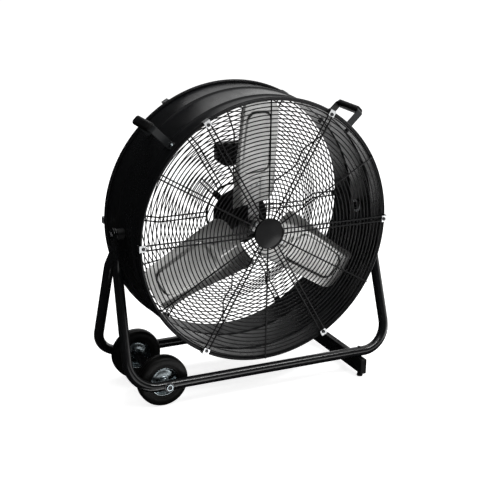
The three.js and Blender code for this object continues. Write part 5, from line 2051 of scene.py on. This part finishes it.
@dataclass
class Lamp:
    """A rectangular studio light."""

    name: str
    place: Corner
    target: Corner
    size: Size
    power: float
    mirrored: bool = True

    def build(self) -> None:
        """Hangs the light and aims it."""
        data = bpy.data.lights.new(self.name, "AREA")
        data.shape = "RECTANGLE"
        data.size, data.size_y = self.size
        data.energy = self.power
        lamp = bpy.data.objects.new(self.name, data)
        lamp.location = self.place
        lamp.visible_glossy = self.mirrored
        aim = Vector(self.target) - Vector(self.place)
        lamp.rotation_euler = aim.to_track_quat("-Z", "Y").to_euler()
        bpy.context.scene.collection.objects.link(lamp)


@dataclass
class Studio:
    """White floor, soft lights, cards that only reflections see, and the camera."""

    camera_place: Corner = (-1.2726, -2.6368, 1.3022)
    camera_right: Corner = (0.90461, -0.42592, 0.01612)
    camera_up: Corner = (0.11656, 0.28359, 0.95183)
    lens: float = 92.31
    film: float = 36.0
    sight: float = 100.0
    floor_half: float = 30.0
    floor_glow: float = 0.80
    ambient: float = 0.3
    card_height: float = 4.5
    card_lift: float = 0.002
    bright_card: float = 5.0
    spark_place: Corner = (-0.35, -0.15, 0.003)
    spark_angles: tuple[float, float] = (-42.0, -28.0)
    spark_length: float = 1.3

    LAMPS = (
        Lamp("overhead", (0.5, 1.1, 2.6), (0.0, 0.0, 0.5), (2.2, 1.6), 55.0, mirrored=False),
        Lamp("front_right", (2.2, -2.4, 1.7), (0.0, 0.0, 0.4), (1.2, 1.6), 30.0, mirrored=False),
        Lamp("strip", (0.9, -1.75, 2.8), (0.0, -0.1, 0.4), (1.8, 0.26), 34.0))
    # Line of the three upright dark cards on the left, as x and y.
    LEFT_LINE = ((-1.4, -3.6), (-2.2, -1.6), (-1.6, 2.6), (0.3, 3.3))
    LEFT_FLOOR = (
        (-2.2, -1.6), (-1.4, -3.4), (-0.45, -0.5), (-0.42, -0.42), (0.62, -0.42), (0.62, 0.5),
        (-0.1, 0.8), (0.3, 3.3), (-1.6, 2.6))
    RIGHT_FLOOR = ((0.85, -0.75), (1.35, -0.65), (1.35, 0.1), (0.85, 0.1))
    FRONT = (
        (-3.0, -3.5, 0.8), (3.2, -3.5, 0.8), (3.2, -2.6, 4.5), (-3.0, -2.6, 4.5))

    def floor(self) -> None:
        """Lays the floor: pale, and white to the camera, with the object's soft shadow kept."""
        bench = ShaderBench("studio_white")
        glow = bench.blend(bench.background_rays(), (0.0, 0.0, 0.0), (self.floor_glow,) * 3)
        shade = bench.blend(bench.noise(3.0, 2.0), (0.70, 0.70, 0.70), (0.74, 0.74, 0.74))
        material = bench.finish(
            Base_Color=shade, Roughness=0.9, Emission_Color=glow, Emission_Strength=1.0, IOR=1.2)
        far = self.floor_half
        square = [Vector((x, y, 0.0)) for x, y in ((-far, -far), (far, -far), (far, far), (-far, far))]
        made("studio_floor", Shape(square, [(0, 1, 2, 3)]), material)

    def card(self, name: str, corners: Sequence[Corner], material: bpy.types.Material) -> None:
        """Stands one card that only reflections see.

        Args:
            name: its name.
            corners: its corners in order.
            material: its finish.
        """
        shape = Shape([Vector(corner) for corner in corners], [tuple(range(len(corners)))])
        card = made(name, shape, material)
        for ray in ("camera", "shadow", "diffuse", "transmission"):
            setattr(card, f"visible_{ray}", False)

    def dark_cards(self) -> None:
        """Stands the dark cards that keep the left of the drum deep black."""
        bench = ShaderBench("studio_dark_card")
        tone = bench.blend(bench.noise(2.0, 2.0), (0.004, 0.004, 0.004), (0.006, 0.006, 0.006))
        material = bench.finish(Base_Color=tone, Roughness=0.9, IOR=1.05)
        high, line = self.card_height, self.LEFT_LINE
        for name, (a, b) in zip(("card_near", "card_left", "card_back"), zip(line, line[1:])):
            self.card(name, [(*a, 0.0), (*b, 0.0), (*b, high), (*a, high)], material)
        self.card("card_low", [(*corner, self.card_lift) for corner in self.LEFT_FLOOR], material)
        self.card("card_front", self.FRONT, material)

    def bright_cards(self) -> None:
        """Lays two bright cards on the right, which draw thin highlights on the tubes."""
        bench = ShaderBench("studio_bright_card")
        glow = bench.blend(bench.noise(2.0, 2.0), (1.0, 1.0, 1.0), (0.95, 0.95, 0.95))
        material = bench.finish(
            Base_Color=(0.8, 0.8, 0.8, 1.0), Emission_Color=glow, Emission_Strength=self.bright_card)
        self.card("card_bright", [(*corner, self.card_lift) for corner in self.RIGHT_FLOOR], material)
        spark = [Vector(self.spark_place)]
        for angle in map(math.radians, self.spark_angles):
            ray = Vector((math.cos(angle), math.sin(angle), 0.0)) * self.spark_length
            spark.append(spark[0] + ray)
        self.card("card_spark", [tuple(corner) for corner in spark], material)

    def air(self) -> None:
        """Fills the room with soft light, white to the camera and to what metal reflects."""
        world = bpy.data.worlds.new("studio_air")
        world.use_nodes = True
        bench = Bench(world.node_tree)
        background = world.node_tree.nodes["Background"]
        strength = self.ambient + (1.0 - self.ambient) * bench.background_rays()
        bench.feed(background.inputs["Color"], (1.0, 1.0, 1.0, 1.0))
        bench.feed(background.inputs["Strength"], strength)
        bpy.context.scene.world = world

    def camera(self) -> None:
        """Stands the camera where the photograph was taken from."""
        data = bpy.data.cameras.new("camera")
        data.lens, data.sensor_width, data.clip_end = self.lens, self.film, self.sight
        camera = bpy.data.objects.new("camera", data)
        right, up = Vector(self.camera_right), Vector(self.camera_up)
        turn = Matrix((right, up, right.cross(up))).transposed().to_4x4()
        camera.matrix_world = Matrix.Translation(self.camera_place) @ turn
        bpy.context.scene.collection.objects.link(camera)
        bpy.context.scene.camera = camera

    def build(self) -> None:
        """Sets the floor, the cards, the lights and the camera."""
        self.floor()
        self.dark_cards()
        self.bright_cards()
        self.air()
        for lamp in self.LAMPS:
            lamp.build()
        self.camera()
        bpy.context.scene.view_settings.view_transform = "Standard"


# --------------------------------------------------------------------------- assembly


def corners(pair: tuple[Vector, Vector]) -> list[list[float]]:
    """Lowest and highest corner as plain lists."""
    return [[round(value, 5) for value in corner] for corner in pair]


def main() -> None:
    """Builds the fan and the studio."""
    logging.basicConfig(level=logging.INFO, format="%(name)s %(message)s")
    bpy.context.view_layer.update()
    shop = Workshop()
    parts = [kind(shop) for kind in (DrumShell, Badge, Motor, Rotor, ControlBox, FootBar, Axle)]
    parts += [kind(shop, end) for end in End for kind in (WireGuard, GuardClips, Wheel)]
    parts += [kind(shop, side) for side in Side for kind in (Handle, Pivot)]
    parts += [StandTube(shop, End.FRONT, 0.34831), StandTube(shop, End.REAR, 0.34301)]
    for part in parts:
        part.build()
    Studio().build()


if __name__ == "__main__":
    main()
